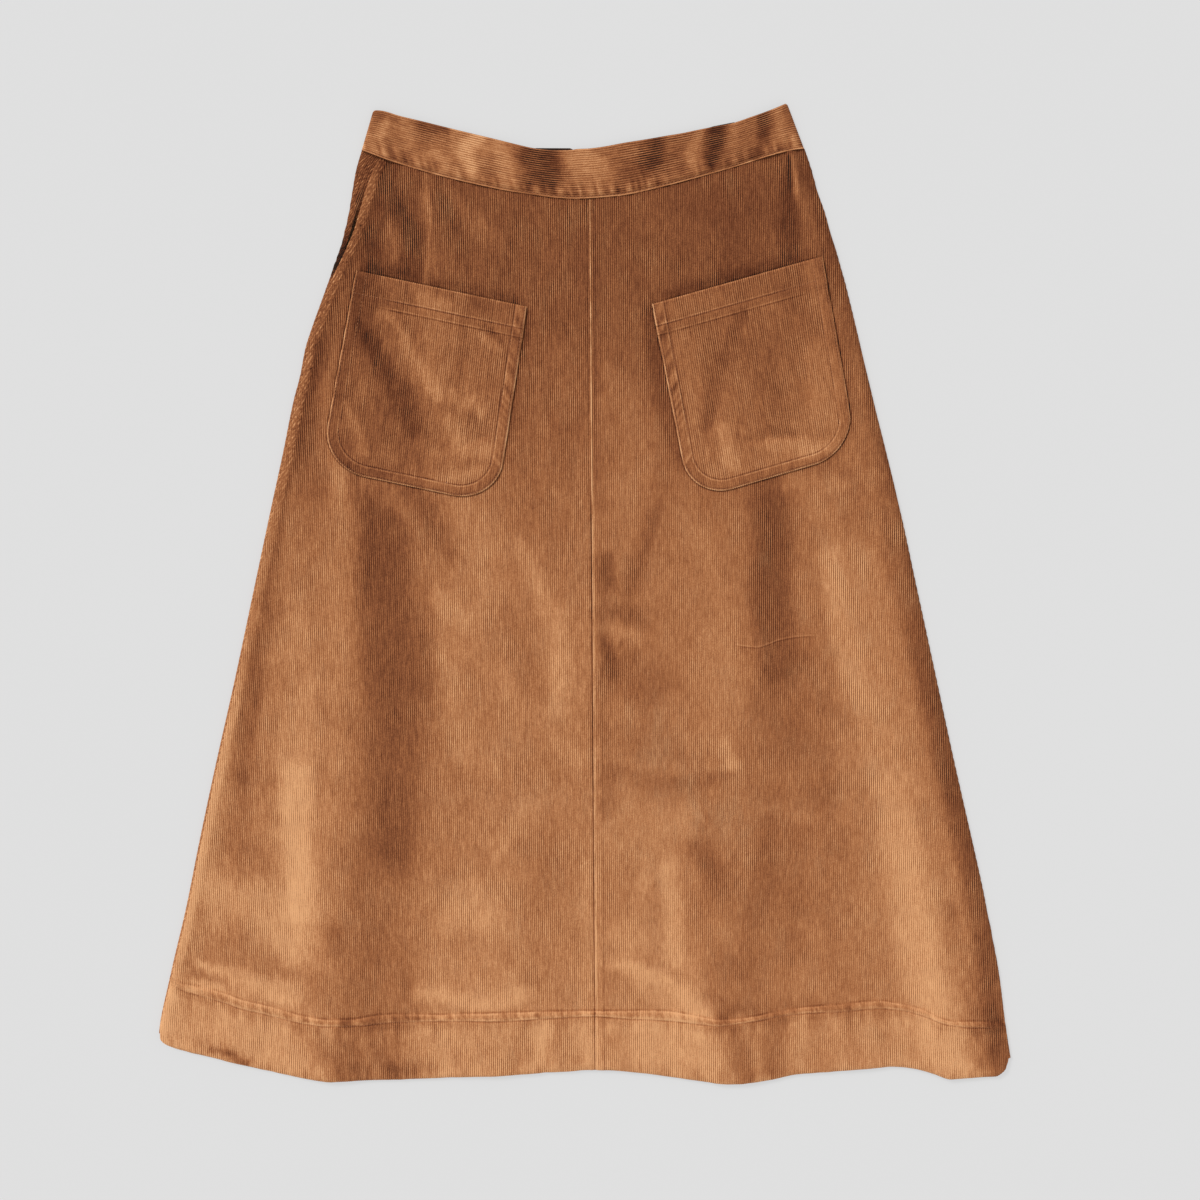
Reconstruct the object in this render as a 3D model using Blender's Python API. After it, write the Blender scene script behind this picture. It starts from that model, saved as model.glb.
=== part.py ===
"""A midi-length A-line skirt in fine corduroy, shut and laid flat with its front up.

Metres, +Z up. The floor is z = 0, +Y points to the waist and +X to the wearer's left. The tables are in
millimetres of the laid garment, with x = 0 on the centre-front seam and y = 0 half-way up the cloth; the
whole skirt is moved level at the end, so that its bounding box is centred over the origin.
"""

import math
from collections import namedtuple

import bmesh
import bpy

MM = 0.001
NAME = "corduroy_a_line_skirt"

# Cloth, in millimetres
CLOTH = 1.6  # one layer of corduroy
HEM_CLOTH = 2.6  # the two pressed layers of the turned-up hem
BAND_CLOTH = 2.6  # the folded waistband with its stiffening
SEAM_GAP = 0.3  # between two pieces that are sewn together
LAYER_GAP = 0.8  # air between the back and the front where they lie closest
FOLD_HEIGHT = 6.0  # outer height of the soft fold down each side
HEM_FOLD_HEIGHT = 7.4  # the same fold where the hem doubles the cloth
FOLD_DEPTH = 5.0  # how far in from its edge such a fold is round
FOLD_SETTLES = 22.0  # how far further in the front has sunk to its own level
HEM_STEP = 3.0  # length over which the cloth thickens below the hem's stitching
UNDER_TURN = 9.0  # width of the front that turns under at its left-hand side of the body

# The silhouette of the laid skirt, down both sides
Side = namedtuple("Side", "y left_fold seam_inset right_fold")
SIDES = (
    Side(406, -193, 13.0, 180),
    Side(390, -198, 13.0, 186),
    Side(374, -201, 9.5, 191),
    Side(355, -205, 5.5, 198),
    Side(339, -208, 5.0, 203),
    Side(324, -214, 4.5, 208),
    Side(304, -221, 2.2, 214),
    Side(269, -233, 2.0, 224),
    Side(197, -257, 2.0, 243),
    Side(112, -280, 2.0, 266),
    Side(33, -300, 2.0, 285),
    Side(-50, -321, 2.0, 305),
    Side(-129, -342, 2.0, 324),
    Side(-204, -361, 2.0, 343),
    Side(-262, -375, 2.0, 357),
    Side(-332, -394, 2.0, 372),
    Side(-389, -407, 2.0, 381),
    Side(-442, -410, 2.0, 391),
)

# Curves from side to side
Point = namedtuple("Point", "x y")
BAND_TOP = (
    Point(-183, 437),
    Point(-179, 438),
    Point(-125, 425),
    Point(-59, 410),
    Point(-43, 407),
    Point(-5, 405),
    Point(11, 408),
    Point(63, 416),
    Point(122, 428),
    Point(164, 442),
    Point(168, 440),
)
WAIST_SEAM = (
    Point(-193, 406),
    Point(-169, 397),
    Point(-113, 381),
    Point(-59, 370),
    Point(-13, 365),
    Point(22, 367),
    Point(63, 375),
    Point(117, 389),
    Point(167, 403),
    Point(180, 405),
)
HEM_STITCH = (
    Point(-394, -333),
    Point(-329, -355),
    Point(-273, -374),
    Point(-246, -376),
    Point(-136, -371),
    Point(-1, -368),
    Point(41, -370),
    Point(113, -380),
    Point(143, -373),
    Point(209, -364),
    Point(242, -361),
    Point(284, -363),
    Point(309, -368),
    Point(331, -380),
    Point(381, -379),
)
HEM_EDGE = (
    Point(-407, -389),
    Point(-403, -398),
    Point(-388, -405),
    Point(-324, -421),
    Point(-252, -437),
    Point(-138, -434),
    Point(-66, -431),
    Point(-2, -427),
    Point(51, -432),
    Point(90, -439),
    Point(128, -442),
    Point(186, -433),
    Point(277, -426),
    Point(303, -429),
    Point(333, -438),
    Point(373, -436),
    Point(382, -429),
    Point(386, -417),
)
BACK_HEM_RISE = 5.0  # the back's hem lies this much higher, hidden under the front's
BACK_HEM_REACH = 40.0  # how far in from the sides it takes to rise
BACK_BAND_PEEP = 1.6  # how far the back of the waistband shows above the front of it
Peep = namedtuple("Peep", "x half_width")
PEEPS = (Peep(-35, 16), Peep(110, 18))

# The soft folds that run up the front from the hem
Flute = namedtuple("Flute", "hem_x top_x top_y half_width rise")
FLUTES = (
    Flute(-338, -262, 40, 36, 1.7),
    Flute(-252, -196, 95, 46, 2.6),
    Flute(-92, -76, -40, 48, 1.7),
    Flute(30, 24, -150, 40, 1.0),
    Flute(128, 104, 95, 52, 2.6),
    Flute(243, 196, -60, 42, 1.4),
    Flute(333, 256, 95, 42, 2.6),
)

# The seam allowances down centre front, pressed to one side, and a tuck beside the right-hand hip
CENTRE_DIP = 0.7
CENTRE_DIP_REACH = 4.5
ALLOWANCE_WIDTH = 7.5
ALLOWANCE_RISE = 0.5
ALLOWANCE_EDGE = 2.5
Tuck = namedtuple("Tuck", "top_x top_y foot_x foot_y steep_width slow_width rise")
TUCK = Tuck(167, 403, 180, 305, 5, 20, 1.0)

# Side opening, left unsewn below the waistband at the wearer's right
Slit = namedtuple("Slit", "y edge_lift back_drop")
SLIT = (
    Slit(420, 0.4, 1.6),
    Slit(385, 0.5, 1.6),
    Slit(365, 0.8, 2.2),
    Slit(335, 1.2, 2.8),
    Slit(312, 0.5, 2.2),
    Slit(296, 0.0, 0.0),
    Slit(-450, 0.0, 0.0),
)
SLIT_REACH = 24.0  # how far in from its edge the front is lifted

# Patch pockets with round lower corners, each turned so that its mouth drops towards the centre
Pocket = namedtuple("Pocket", "name x y across turn")
POCKETS = (
    Pocket("pocket_left", -57, 277, -1, -12.0),
    Pocket("pocket_right", 51, 278, 1, 13.5),
)
POCKET_WIDTH = 149.0
POCKET_DEPTH = 174.0
POCKET_CORNER = 38.0
POCKET_HEM = 19.0  # depth of the turned-down mouth of a pocket
POCKET_HEM_CLOTH = 2.5
POCKET_HEM_STEP = 1.8
POCKET_GAP = 0.5  # between a pocket and the skirt under it
MOUTH_RISE = 0.9  # how much further its mouth stands off
MOUTH_REACH = 30.0

# The waistband
BAND_EDGE_ROUND = 0.5
BAND_JOIN = 0.05  # where its ends meet, as a share of the way across from the left-hand fold

# Where the mesh lines run, in millimetres or as shares of the way across or down
BODY_ROWS = 26
HEM_SHARES = (0.0, 0.06, 0.35, 0.7, 1.0)
CENTRE_COLUMNS = (1.6, 4.5, 7.5, 10.0, 20.0)  # out from centre front
EDGE_COLUMNS = (26.0, 15.0, 8.0, 4.6, 3.1)  # in from the front's outer edge
FRONT_COLUMNS = 15
BACK_COLUMNS = 24
FOLD_STEPS = 6
FOLD_STARTS = 60.0  # degrees up the right-hand fold where the front's flat columns end
BAND_COLUMNS = 30
BAND_SHARES = (0.0, 0.05, 0.35, 0.7, 0.95, 1.0)
POCKET_COLUMNS = (0.0, 0.03, 0.07, 0.2, 0.35, 0.5, 0.65, 0.8, 0.93, 0.97, 1.0)
POCKET_ROWS = (0.0, 1.6, 9.0, POCKET_HEM, POCKET_HEM + POCKET_HEM_STEP, 30.0, 60.0, 90.0, 115.0)
CORNER_STEPS = 5
SLOPE_STEP = 0.5  # half the length over which a slope is measured
MEETING_ROUNDS = 40  # rounds of halving in which a line finds where it crosses a curve
SHARP_ANGLE = math.radians(50)

# Colours, linear
BACK_COLOUR = (0.33, 0.145, 0.06)
FRONT_COLOUR = (0.40, 0.18, 0.075)
BAND_COLOUR = (0.44, 0.20, 0.085)
POCKET_COLOUR = (0.38, 0.165, 0.07)


def smooth(points):
    """A smooth function through (position, value) points that never overshoots between two of them."""
    points = sorted(points)
    xs = [p[0] for p in points]
    ys = [p[1] for p in points]
    steps = [(ys[i + 1] - ys[i]) / (xs[i + 1] - xs[i]) for i in range(len(xs) - 1)]
    slopes = [steps[0]]
    for before, after in zip(steps, steps[1:]):
        same_way = before * after > 0
        slopes.append(2 * before * after / (before + after) if same_way else 0.0)
    slopes.append(steps[-1])

    def value(x):
        x = min(max(x, xs[0]), xs[-1])
        i = max(k for k in range(len(steps)) if xs[k] <= x)
        width = xs[i + 1] - xs[i]
        t = (x - xs[i]) / width
        return (
            ys[i] * (1 + 2 * t) * (1 - t) ** 2
            + ys[i + 1] * (3 - 2 * t) * t * t
            + width * (slopes[i] * t * (1 - t) ** 2 - slopes[i + 1] * (1 - t) * t * t)
        )

    return value


def ease(t):
    """0 below t = 0, 1 above t = 1, and a soft step between."""
    t = min(max(t, 0.0), 1.0)
    return t * t * (3 - 2 * t)


def bump(distance, half_width):
    """A round ridge: 1 on its line and 0 from half_width away."""
    if abs(distance) >= half_width:
        return 0.0
    return math.cos(math.pi / 2 * distance / half_width) ** 2


left_fold = smooth((s.y, s.left_fold) for s in SIDES)
right_fold = smooth((s.y, s.right_fold) for s in SIDES)
seam_inset = smooth((s.y, s.seam_inset) for s in SIDES)
band_top = smooth(BAND_TOP)
waist_seam = smooth(WAIST_SEAM)
hem_stitch = smooth(HEM_STITCH)
hem_edge = smooth(HEM_EDGE)
slit_lift = smooth((s.y, s.edge_lift) for s in SLIT)
slit_drop = smooth((s.y, s.back_drop) for s in SLIT)


def back_hem(x):
    """The back's hem edge: level with the front's at the side folds and hidden above it elsewhere."""
    inside = min(x - HEM_EDGE[0].x, HEM_EDGE[-1].x - x)
    return hem_edge(x) + BACK_HEM_RISE * ease(inside / BACK_HEM_REACH)


def back_band_top(x):
    """The back of the waistband's upper edge, which shows above the front's in two places."""
    return band_top(x) + BACK_BAND_PEEP * (
        2 * max(bump(x - p.x, p.half_width) for p in PEEPS) - 1
    )


def hem_share(x, y):
    """0 above the hem's stitching, 1 where the cloth is double."""
    return ease((hem_stitch(x) - y) / HEM_STEP)


def cloth_at(x, y):
    return CLOTH + (HEM_CLOTH - CLOTH) * hem_share(x, y)


def fold_height(x, y):
    return FOLD_HEIGHT + (HEM_FOLD_HEIGHT - FOLD_HEIGHT) * hem_share(x, y)


def fold_rise(inside, height):
    """Height of a side fold's outer surface this far in from its edge."""
    reach = 1 - min(max(inside, 0.0), FOLD_DEPTH) / FOLD_DEPTH
    return height / 2 * (1 + math.sqrt(max(0.0, 1 - reach * reach)))


def flutes_at(x, y):
    """How far the soft folds lift the front."""
    lift = 0.0
    for flute in FLUTES:
        foot = hem_edge(flute.hem_x)
        up = (y - foot) / (flute.top_y - foot)
        centre = flute.hem_x + (flute.top_x - flute.hem_x) * up
        lift += flute.rise * bump(x - centre, flute.half_width) * ease(1 - up)
    return lift


def tuck_at(x, y):
    """A crease beside the hip: a steep side towards the centre and a slow one outwards."""
    down = (TUCK.top_y - y) / (TUCK.top_y - TUCK.foot_y)
    away = x - (TUCK.top_x + (TUCK.foot_x - TUCK.top_x) * down)
    steep, slow = 1 + away / TUCK.steep_width, 1 - away / TUCK.slow_width
    return TUCK.rise * ease(min(steep, slow)) * bump(max(down, 0.0), 1.0)


def centre_at(x):
    """The front dips into the centre seam and rises over the allowances pressed to +X."""
    dip = CENTRE_DIP * ease(1 - abs(x) / CENTRE_DIP_REACH)
    middle = ALLOWANCE_WIDTH / 2
    return ALLOWANCE_RISE * bump(x - middle, middle + ALLOWANCE_EDGE) - dip


def front_top(x, y):
    """Height of the front's outer surface."""
    height = fold_height(x, y)
    from_left = x - left_fold(y)
    inside = min(from_left, right_fold(y) - x)
    level = 2 * cloth_at(x, y) + LAYER_GAP + flutes_at(x, y) + centre_at(x)
    settled = ease((inside - FOLD_DEPTH) / FOLD_SETTLES)
    opening = slit_lift(y) * ease(1 - from_left / SLIT_REACH)
    tuck = tuck_at(x, y) * ease((inside - 1) / FOLD_DEPTH)
    return fold_rise(inside, height) + (level - height) * settled + opening + tuck


def shell(name, columns, material):
    """A closed wall from columns of (outer, inner) points, each running down the cloth.
    Seen from outside with the waist up, the first column is the one furthest to the right."""
    mesh = bmesh.new()
    grid = [
        [[mesh.verts.new([v * MM for v in point]) for point in layers] for layers in column]
        for column in columns
    ]
    across, down = len(grid), len(grid[0])
    for i in range(across - 1):
        for j in range(down - 1):
            corners = [(i, j), (i + 1, j), (i + 1, j + 1), (i, j + 1)]
            mesh.faces.new([grid[a][b][0] for a, b in corners])
            mesh.faces.new([grid[a][b][1] for a, b in reversed(corners)])
    for i in range(across - 1):
        for j in (0, down - 1):
            rim = [grid[i][j][0], grid[i][j][1], grid[i + 1][j][1], grid[i + 1][j][0]]
            mesh.faces.new(rim if j == 0 else rim[::-1])
    for j in range(down - 1):
        for i in (0, across - 1):
            rim = [grid[i][j][0], grid[i][j + 1][0], grid[i][j + 1][1], grid[i][j][1]]
            mesh.faces.new(rim if i == 0 else rim[::-1])
    data = bpy.data.meshes.new(name)
    mesh.to_mesh(data)
    mesh.free()
    data.shade_smooth()
    data.set_sharp_from_angle(angle=SHARP_ANGLE)
    data.materials.append(material)
    made = bpy.data.objects.new(name, data)
    bpy.context.collection.objects.link(made)
    return made


def panel_top(x):
    return waist_seam(x) - SEAM_GAP / 2


def follow(edge, foot=hem_edge):
    """(x, y) points of a line down the cloth, x = edge(y), from the waist seam to the foot curve."""

    def meets(curve):
        y = curve(0)
        for _ in range(MEETING_ROUNDS):
            y = (y + curve(edge(y))) / 2
        return y

    top, stitch, low = meets(panel_top), meets(hem_stitch), meets(foot)
    heights = [top + (stitch - top) * j / BODY_ROWS for j in range(BODY_ROWS)]
    heights += [stitch + (low - stitch) * share for share in HEM_SHARES]
    return [(edge(y), y) for y in heights]


def section_column(section, foot=hem_edge):
    """A column whose (outer, inner) points at height y have the (x, z) pairs of section(y)."""
    layers = []
    for layer in (0, 1):
        line = follow(lambda y, layer=layer: section(y)[layer][0], foot)
        layers.append([(x, y, section(y)[layer][1]) for x, y in line])
    return list(zip(*layers))


def sheet_column(edge):
    """A column of the front where x = edge(y); inner points lie a cloth's thickness in."""
    column = []
    step = SLOPE_STEP
    for x, y in follow(edge):
        z = front_top(x, y)
        slope_x = (front_top(x + step, y) - front_top(x - step, y)) / (2 * step)
        slope_y = (front_top(x, y + step) - front_top(x, y - step)) / (2 * step)
        inwards = cloth_at(x, y) / math.sqrt(slope_x**2 + slope_y**2 + 1)
        inner = (x + inwards * slope_x, y + inwards * slope_y, z - inwards)
        column.append(((x, y, z), inner))
    return column


def floor_section(edge):
    """Cloth that lies on the floor, where x = edge(y)."""
    return lambda y: ((edge(y), 0.0), (edge(y), cloth_at(edge(y), y)))


def fold_section(edge_x, turn, around, height, cloth):
    """((x, z), (x, z)) outer and inner points on a side fold. around is in degrees, 0 at its edge
    and 90 on top; turn is 1 on the right-hand fold and -1 on the left-hand one."""
    c, s = math.cos(math.radians(around)), math.sin(math.radians(around))
    centre = edge_x - turn * FOLD_DEPTH
    outer = (centre + turn * FOLD_DEPTH * c, height / 2 * (1 + s))
    inner = (centre + turn * (FOLD_DEPTH - cloth) * c, height / 2 + (height / 2 - cloth) * s)
    return outer, inner


def front_panel(name, sign, edge, material, beyond):
    """Half of the front. sign is -1 or 1, edge(y) its outer edge, and beyond the columns past it."""
    edges = [lambda y, x=x: sign * x for x in (SEAM_GAP / 2, *CENTRE_COLUMNS)]
    for i in range(1, FRONT_COLUMNS):

        def between(y, share=i / FRONT_COLUMNS):
            near = sign * CENTRE_COLUMNS[-1]
            return near + (edge(y) - sign * EDGE_COLUMNS[0] - near) * share

        edges.append(between)
    edges += [lambda y, inset=inset: edge(y) - sign * inset for inset in EDGE_COLUMNS]
    columns = [sheet_column(line) for line in edges] + beyond
    return shell(name, columns if sign < 0 else columns[::-1], material)


def front_left(material):
    """The half whose outer edge is sewn to the back down the left fold, below the side opening."""

    def edge(y):
        return left_fold(y) + seam_inset(y) + SEAM_GAP

    def seam(y):
        x, inside = edge(y), seam_inset(y) + SEAM_GAP
        around = math.degrees(math.acos(1 - min(inside, FOLD_DEPTH) / FOLD_DEPTH))
        height, cloth = fold_height(x, y), cloth_at(x, y)
        inner = fold_section(left_fold(y), -1, around, height, cloth)[1]
        past_fold = max(0.0, inside - FOLD_DEPTH)
        rise = front_top(x, y) - fold_rise(inside, height)
        return (x, front_top(x, y)), (inner[0] + past_fold, inner[1] + rise)

    return front_panel("front_panel_left", -1, edge, material, [section_column(seam)])


def right_edge(inset):
    """The edge of a line this far in from the right fold."""
    return lambda y: right_fold(y) - inset


def front_right(material):
    """The half that rolls over the right fold and ends just under it."""
    columns = []
    for step in range(FOLD_STEPS + 1):

        def roll(y, around=FOLD_STARTS * (1 - step / FOLD_STEPS) - 90 * step / FOLD_STEPS):
            x = right_fold(y)
            return fold_section(x, 1, around, fold_height(x, y), cloth_at(x, y))

        columns.append(section_column(roll))
    columns.append(section_column(floor_section(right_edge(UNDER_TURN))))
    return front_panel("front_panel_right", 1, right_fold, material, columns)


def back_panel(material):
    """The back: flat on the floor, round the left fold, and on to its seam with the front."""
    columns = []
    for i in range(BACK_COLUMNS):

        def across(y, share=i / BACK_COLUMNS):
            start = right_fold(y) - UNDER_TURN - SEAM_GAP
            return start + (left_fold(y) + FOLD_DEPTH - start) * share

        columns.append(section_column(floor_section(across), back_hem))
    for step in range(FOLD_STEPS + 1):

        def roll(y, share=step / FOLD_STEPS):
            return back_fold_section(y, share)

        columns.append(section_column(roll, back_hem))
    return shell("back_panel", columns[::-1], material)


def back_fold_section(y, share):
    """The back's section from under the left fold, share 0, round it to the seam, share 1."""
    x = left_fold(y)
    height = fold_height(x, y) - slit_drop(y)
    quarter = math.pi / 4 * (FOLD_DEPTH + height / 2)
    inset = seam_inset(y)
    seam_around = math.degrees(math.acos(1 - min(inset, FOLD_DEPTH) / FOLD_DEPTH))
    past_fold = max(0.0, inset - FOLD_DEPTH)
    length = share * (quarter * (1 + seam_around / 90) + past_fold)
    around = min(90 * length / quarter - 90, 90)
    beyond = max(0.0, length - 2 * quarter)
    outer, inner = fold_section(x, -1, around, height, cloth_at(x, y))
    return (outer[0] + beyond, outer[1]), (inner[0] + beyond, inner[1])


def band_height(x, share):
    """Outer height of the waistband's front, softly rounded off along both its long edges."""
    over_fold = FOLD_HEIGHT + BAND_CLOTH - CLOTH
    inside = min(x - BAND_TOP[0].x, BAND_TOP[-1].x - x)
    level = 2 * BAND_CLOTH + LAYER_GAP
    settled = ease((inside - FOLD_DEPTH) / FOLD_SETTLES)
    rounded = BAND_EDGE_ROUND * ease(1 - min(share, 1 - share) / BAND_SHARES[1])
    return over_fold + (level - over_fold) * settled - rounded


def band_strand(top_x, low_x, upper, height):
    """Points down the waistband from the upper curve; height(x, share) is their z."""
    top_y, low_y = upper(top_x), waist_seam(low_x) + SEAM_GAP / 2
    points = []
    for share in BAND_SHARES:
        x = top_x + (low_x - top_x) * share
        points.append((x, top_y + (low_y - top_y) * share, height(x, share)))
    return points


def waistband(material):
    """One strip round the waist, its ends meeting on the underside near the left-hand fold."""
    ends = {-1: (BAND_TOP[0].x, WAIST_SEAM[0].x), 1: (BAND_TOP[-1].x, WAIST_SEAM[-1].x)}
    starts = [x + FOLD_DEPTH for x in ends[-1]]
    stops = [x - FOLD_DEPTH for x in ends[1]]

    def flat(across, upper, outer, inner):
        top_x, low_x = (a + (b - a) * across for a, b in zip(starts, stops))
        return list(zip(*(band_strand(top_x, low_x, upper, z) for z in (outer, inner))))

    def under(across):
        return flat(across, back_band_top, lambda x, share: 0.0, lambda x, share: BAND_CLOTH)

    def over(across):
        return flat(across, band_top, band_height, lambda x, s: band_height(x, s) - BAND_CLOTH)

    def round_end(turn, around):
        layers = []
        for layer in (0, 1):

            def place(x, share, layer=layer):
                return fold_section(x, turn, around, band_height(x, share), BAND_CLOTH)[layer]

            tops = [place(x, 0.0)[0] for x in ends[turn]]
            layers.append(band_strand(*tops, band_top, lambda x, share: place(x, share)[1]))
        return list(zip(*layers))

    steps = range(1, FOLD_STEPS)
    shares = [i / BAND_COLUMNS for i in range(BAND_COLUMNS + 1)]
    meet = BAND_JOIN + SEAM_GAP / (stops[0] - starts[0])
    columns = [under(BAND_JOIN), under(0.0)]
    columns += [round_end(-1, 180 * step / FOLD_STEPS - 90) for step in steps]
    columns += [over(across) for across in shares]
    columns += [round_end(1, 90 - 180 * step / FOLD_STEPS) for step in steps]
    columns += [under(across) for across in reversed(shares) if across > 2 * meet]
    columns.append(under(meet))
    return shell("waistband", columns[::-1], material)


def pocket(spec, material):
    """A patch pocket: a grid in its own turned axes, whose lower rows draw in round the corners."""
    turn = math.radians(spec.turn)
    rows = [(down, 0.0) for down in POCKET_ROWS]
    for k in range(CORNER_STEPS + 1):
        angle = math.pi / 2 * k / CORNER_STEPS
        down = POCKET_DEPTH - POCKET_CORNER * (1 - math.sin(angle))
        rows.append((down, POCKET_CORNER * (1 - math.cos(angle))))
    columns = []
    for share in POCKET_COLUMNS:
        column = []
        for down, inset in rows:
            across = spec.across * (inset + (POCKET_WIDTH - 2 * inset) * share)
            x = spec.x + across * math.cos(turn) + down * math.sin(turn)
            y = spec.y + across * math.sin(turn) - down * math.cos(turn)
            double = ease((POCKET_HEM + POCKET_HEM_STEP - down) / POCKET_HEM_STEP)
            cloth = CLOTH + (POCKET_HEM_CLOTH - CLOTH) * double
            mouth = MOUTH_RISE * bump(down, MOUTH_REACH) * math.sin(math.pi * share)
            low = front_top(x, y) + POCKET_GAP + mouth
            column.append(((x, y, low + cloth), (x, y, low)))
        columns.append(column)
    return shell(spec.name, columns if spec.across < 0 else columns[::-1], material)


def corduroy(name, colour):
    """Matt cotton pile in one colour."""
    material = bpy.data.materials.new(name)
    material.use_nodes = True
    surface = material.node_tree.nodes["Principled BSDF"]
    surface.inputs["Base Color"].default_value = (*colour, 1)
    surface.inputs["Roughness"].default_value = 0.9
    surface.inputs["Metallic"].default_value = 0.0
    surface.inputs["Sheen Weight"].default_value = 0.4
    return material


def main():
    for old in list(bpy.data.objects):
        bpy.data.objects.remove(old)
    collection = bpy.data.collections.new(NAME)
    bpy.context.scene.collection.children.link(collection)
    layer = bpy.context.view_layer.layer_collection.children[NAME]
    bpy.context.view_layer.active_layer_collection = layer

    pieces = [
        back_panel(corduroy("back_corduroy", BACK_COLOUR)),
        front_left(corduroy("front_left_corduroy", FRONT_COLOUR)),
        front_right(corduroy("front_right_corduroy", FRONT_COLOUR)),
        waistband(corduroy("band_corduroy", BAND_COLOUR)),
    ]
    pieces += [
        pocket(spec, corduroy(spec.name + "_corduroy", POCKET_COLOUR)) for spec in POCKETS
    ]
    corners = [v.co for piece in pieces for v in piece.data.vertices]
    middle_x, middle_y = ((min(c[i] for c in corners) + max(c[i] for c in corners)) / 2 for i in (0, 1))
    for piece in pieces:
        piece.location = (-middle_x, -middle_y, 0)


main()
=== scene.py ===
"""The look of a corduroy A-line skirt laid flat with its front up: every piece of cloth is a thin
closed shell whose outside carries the corduroy's ribs, with its seams, puckers and brushed pile.

Lengths in the tables are millimetres of the laid skirt, x = 0 on the centre-front seam and y = 0
half-way up it, unless a table says that it gives places in the 1200-pixel picture.
"""

import math
from collections import namedtuple

import bpy
import numpy as np
from mathutils import Matrix, Vector


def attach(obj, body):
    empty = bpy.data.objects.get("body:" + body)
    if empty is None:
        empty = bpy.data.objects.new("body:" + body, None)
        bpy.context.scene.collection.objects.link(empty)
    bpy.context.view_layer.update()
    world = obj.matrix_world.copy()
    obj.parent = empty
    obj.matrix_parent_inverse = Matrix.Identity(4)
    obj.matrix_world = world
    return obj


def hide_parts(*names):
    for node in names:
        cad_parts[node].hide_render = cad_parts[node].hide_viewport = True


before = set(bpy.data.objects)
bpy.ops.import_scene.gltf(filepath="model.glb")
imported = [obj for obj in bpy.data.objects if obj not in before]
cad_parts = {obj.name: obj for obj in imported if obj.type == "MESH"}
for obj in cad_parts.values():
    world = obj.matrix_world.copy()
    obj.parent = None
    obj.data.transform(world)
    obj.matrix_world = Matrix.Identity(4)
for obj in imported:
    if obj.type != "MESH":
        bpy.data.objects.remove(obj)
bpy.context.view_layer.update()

MM = 0.001

# ---------------------------------------------------------------- the camera and its picture
SHIFT_X, SHIFT_Y = 10.4394, -0.1352  # from the garment's millimetres to the row frame
PICTURE = 1200.0
FOCAL = 1578.35  # pixels
SENSOR = 36.0
DISTANCE = 1400.0
TILT = math.radians(10.0)
ROLL = math.radians(0.3466)
TARGET_X, TARGET_Y = 5.6, 19.6  # where the camera's axis meets the floor


def on_floor(px, py):
    """The garment's (x, y) under a point of the picture, on the floor."""
    up = (PICTURE / 2 - py) / FOCAL
    along = up * DISTANCE / (math.cos(TILT) + up * math.sin(TILT))
    across = (px - PICTURE / 2) / FOCAL * (DISTANCE - along * math.sin(TILT))
    x = across * math.cos(ROLL) + along * math.sin(ROLL) + TARGET_X
    return x, -across * math.sin(ROLL) + along * math.cos(ROLL) + TARGET_Y


def on_cloth(px, py, height=4.5):
    """The garment's (x, y) under a point of the picture, on cloth this high above the floor."""
    x, y = on_floor(px, py)
    share = height / (DISTANCE * math.cos(TILT))
    lean = DISTANCE * math.sin(TILT)
    eye_x, eye_y = TARGET_X + lean * math.sin(ROLL), TARGET_Y + lean * math.cos(ROLL)
    return x + (eye_x - x) * share, y + (eye_y - y) * share


def make_camera():
    forward_flat = Vector((math.sin(ROLL), math.cos(ROLL), 0))
    right = Vector((math.cos(ROLL), -math.sin(ROLL), 0))
    up = forward_flat * math.cos(TILT) - Vector((0, 0, math.sin(TILT)))
    back = right.cross(up)
    target = Vector((TARGET_X + SHIFT_X, TARGET_Y + SHIFT_Y, 0))
    place = (target + back * DISTANCE) * MM
    data = bpy.data.cameras.new("camera")
    data.sensor_width = SENSOR
    data.lens = FOCAL / PICTURE * SENSOR
    camera = bpy.data.objects.new("camera", data)
    bpy.context.scene.collection.objects.link(camera)
    rotation = Matrix((right, up, back)).transposed()
    camera.matrix_world = Matrix.Translation(place) @ rotation.to_4x4()
    bpy.context.scene.camera = camera


# ---------------------------------------------------------------- small functions of arrays
def smooth(points):
    """A smooth function through (position, value) points that never overshoots between two."""
    xs, ys = np.array(sorted(points), float).T
    step = np.diff(ys) / np.diff(xs)
    slopes = np.concatenate([step[:1], np.zeros(len(xs) - 2), step[-1:]])
    same = np.flatnonzero(step[:-1] * step[1:] > 0)
    slopes[same + 1] = 2 * step[same] * step[same + 1] / (step[same] + step[same + 1])

    def value(x):
        x = np.clip(x, xs[0], xs[-1])
        i = np.clip(np.searchsorted(xs, x, side="right") - 1, 0, len(step) - 1)
        width = xs[i + 1] - xs[i]
        t = (x - xs[i]) / width
        return (
            ys[i] * (1 + 2 * t) * (1 - t) ** 2
            + ys[i + 1] * (3 - 2 * t) * t * t
            + width * (slopes[i] * t * (1 - t) ** 2 - slopes[i + 1] * (1 - t) * t * t)
        )

    return value


def ease(t):
    """0 below t = 0, 1 above t = 1, and a soft step between."""
    t = np.clip(t, 0.0, 1.0)
    return t * t * (3 - 2 * t)


def bump(distance, half_width):
    """A round ridge: 1 on its line and 0 from half_width away."""
    near = np.clip(np.abs(distance) / half_width, 0, 1)
    return np.cos(np.pi / 2 * near) ** 2


def soft(distance, width):
    """A soft ridge: 1 on its line, about a third this far from it and nearly 0 twice as far."""
    return np.exp(-((distance / width) ** 2))


def run_length(x, y):
    """How far along a line each of its points lies."""
    return np.concatenate([[0], np.cumsum(np.hypot(np.diff(x), np.diff(y)))])


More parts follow.
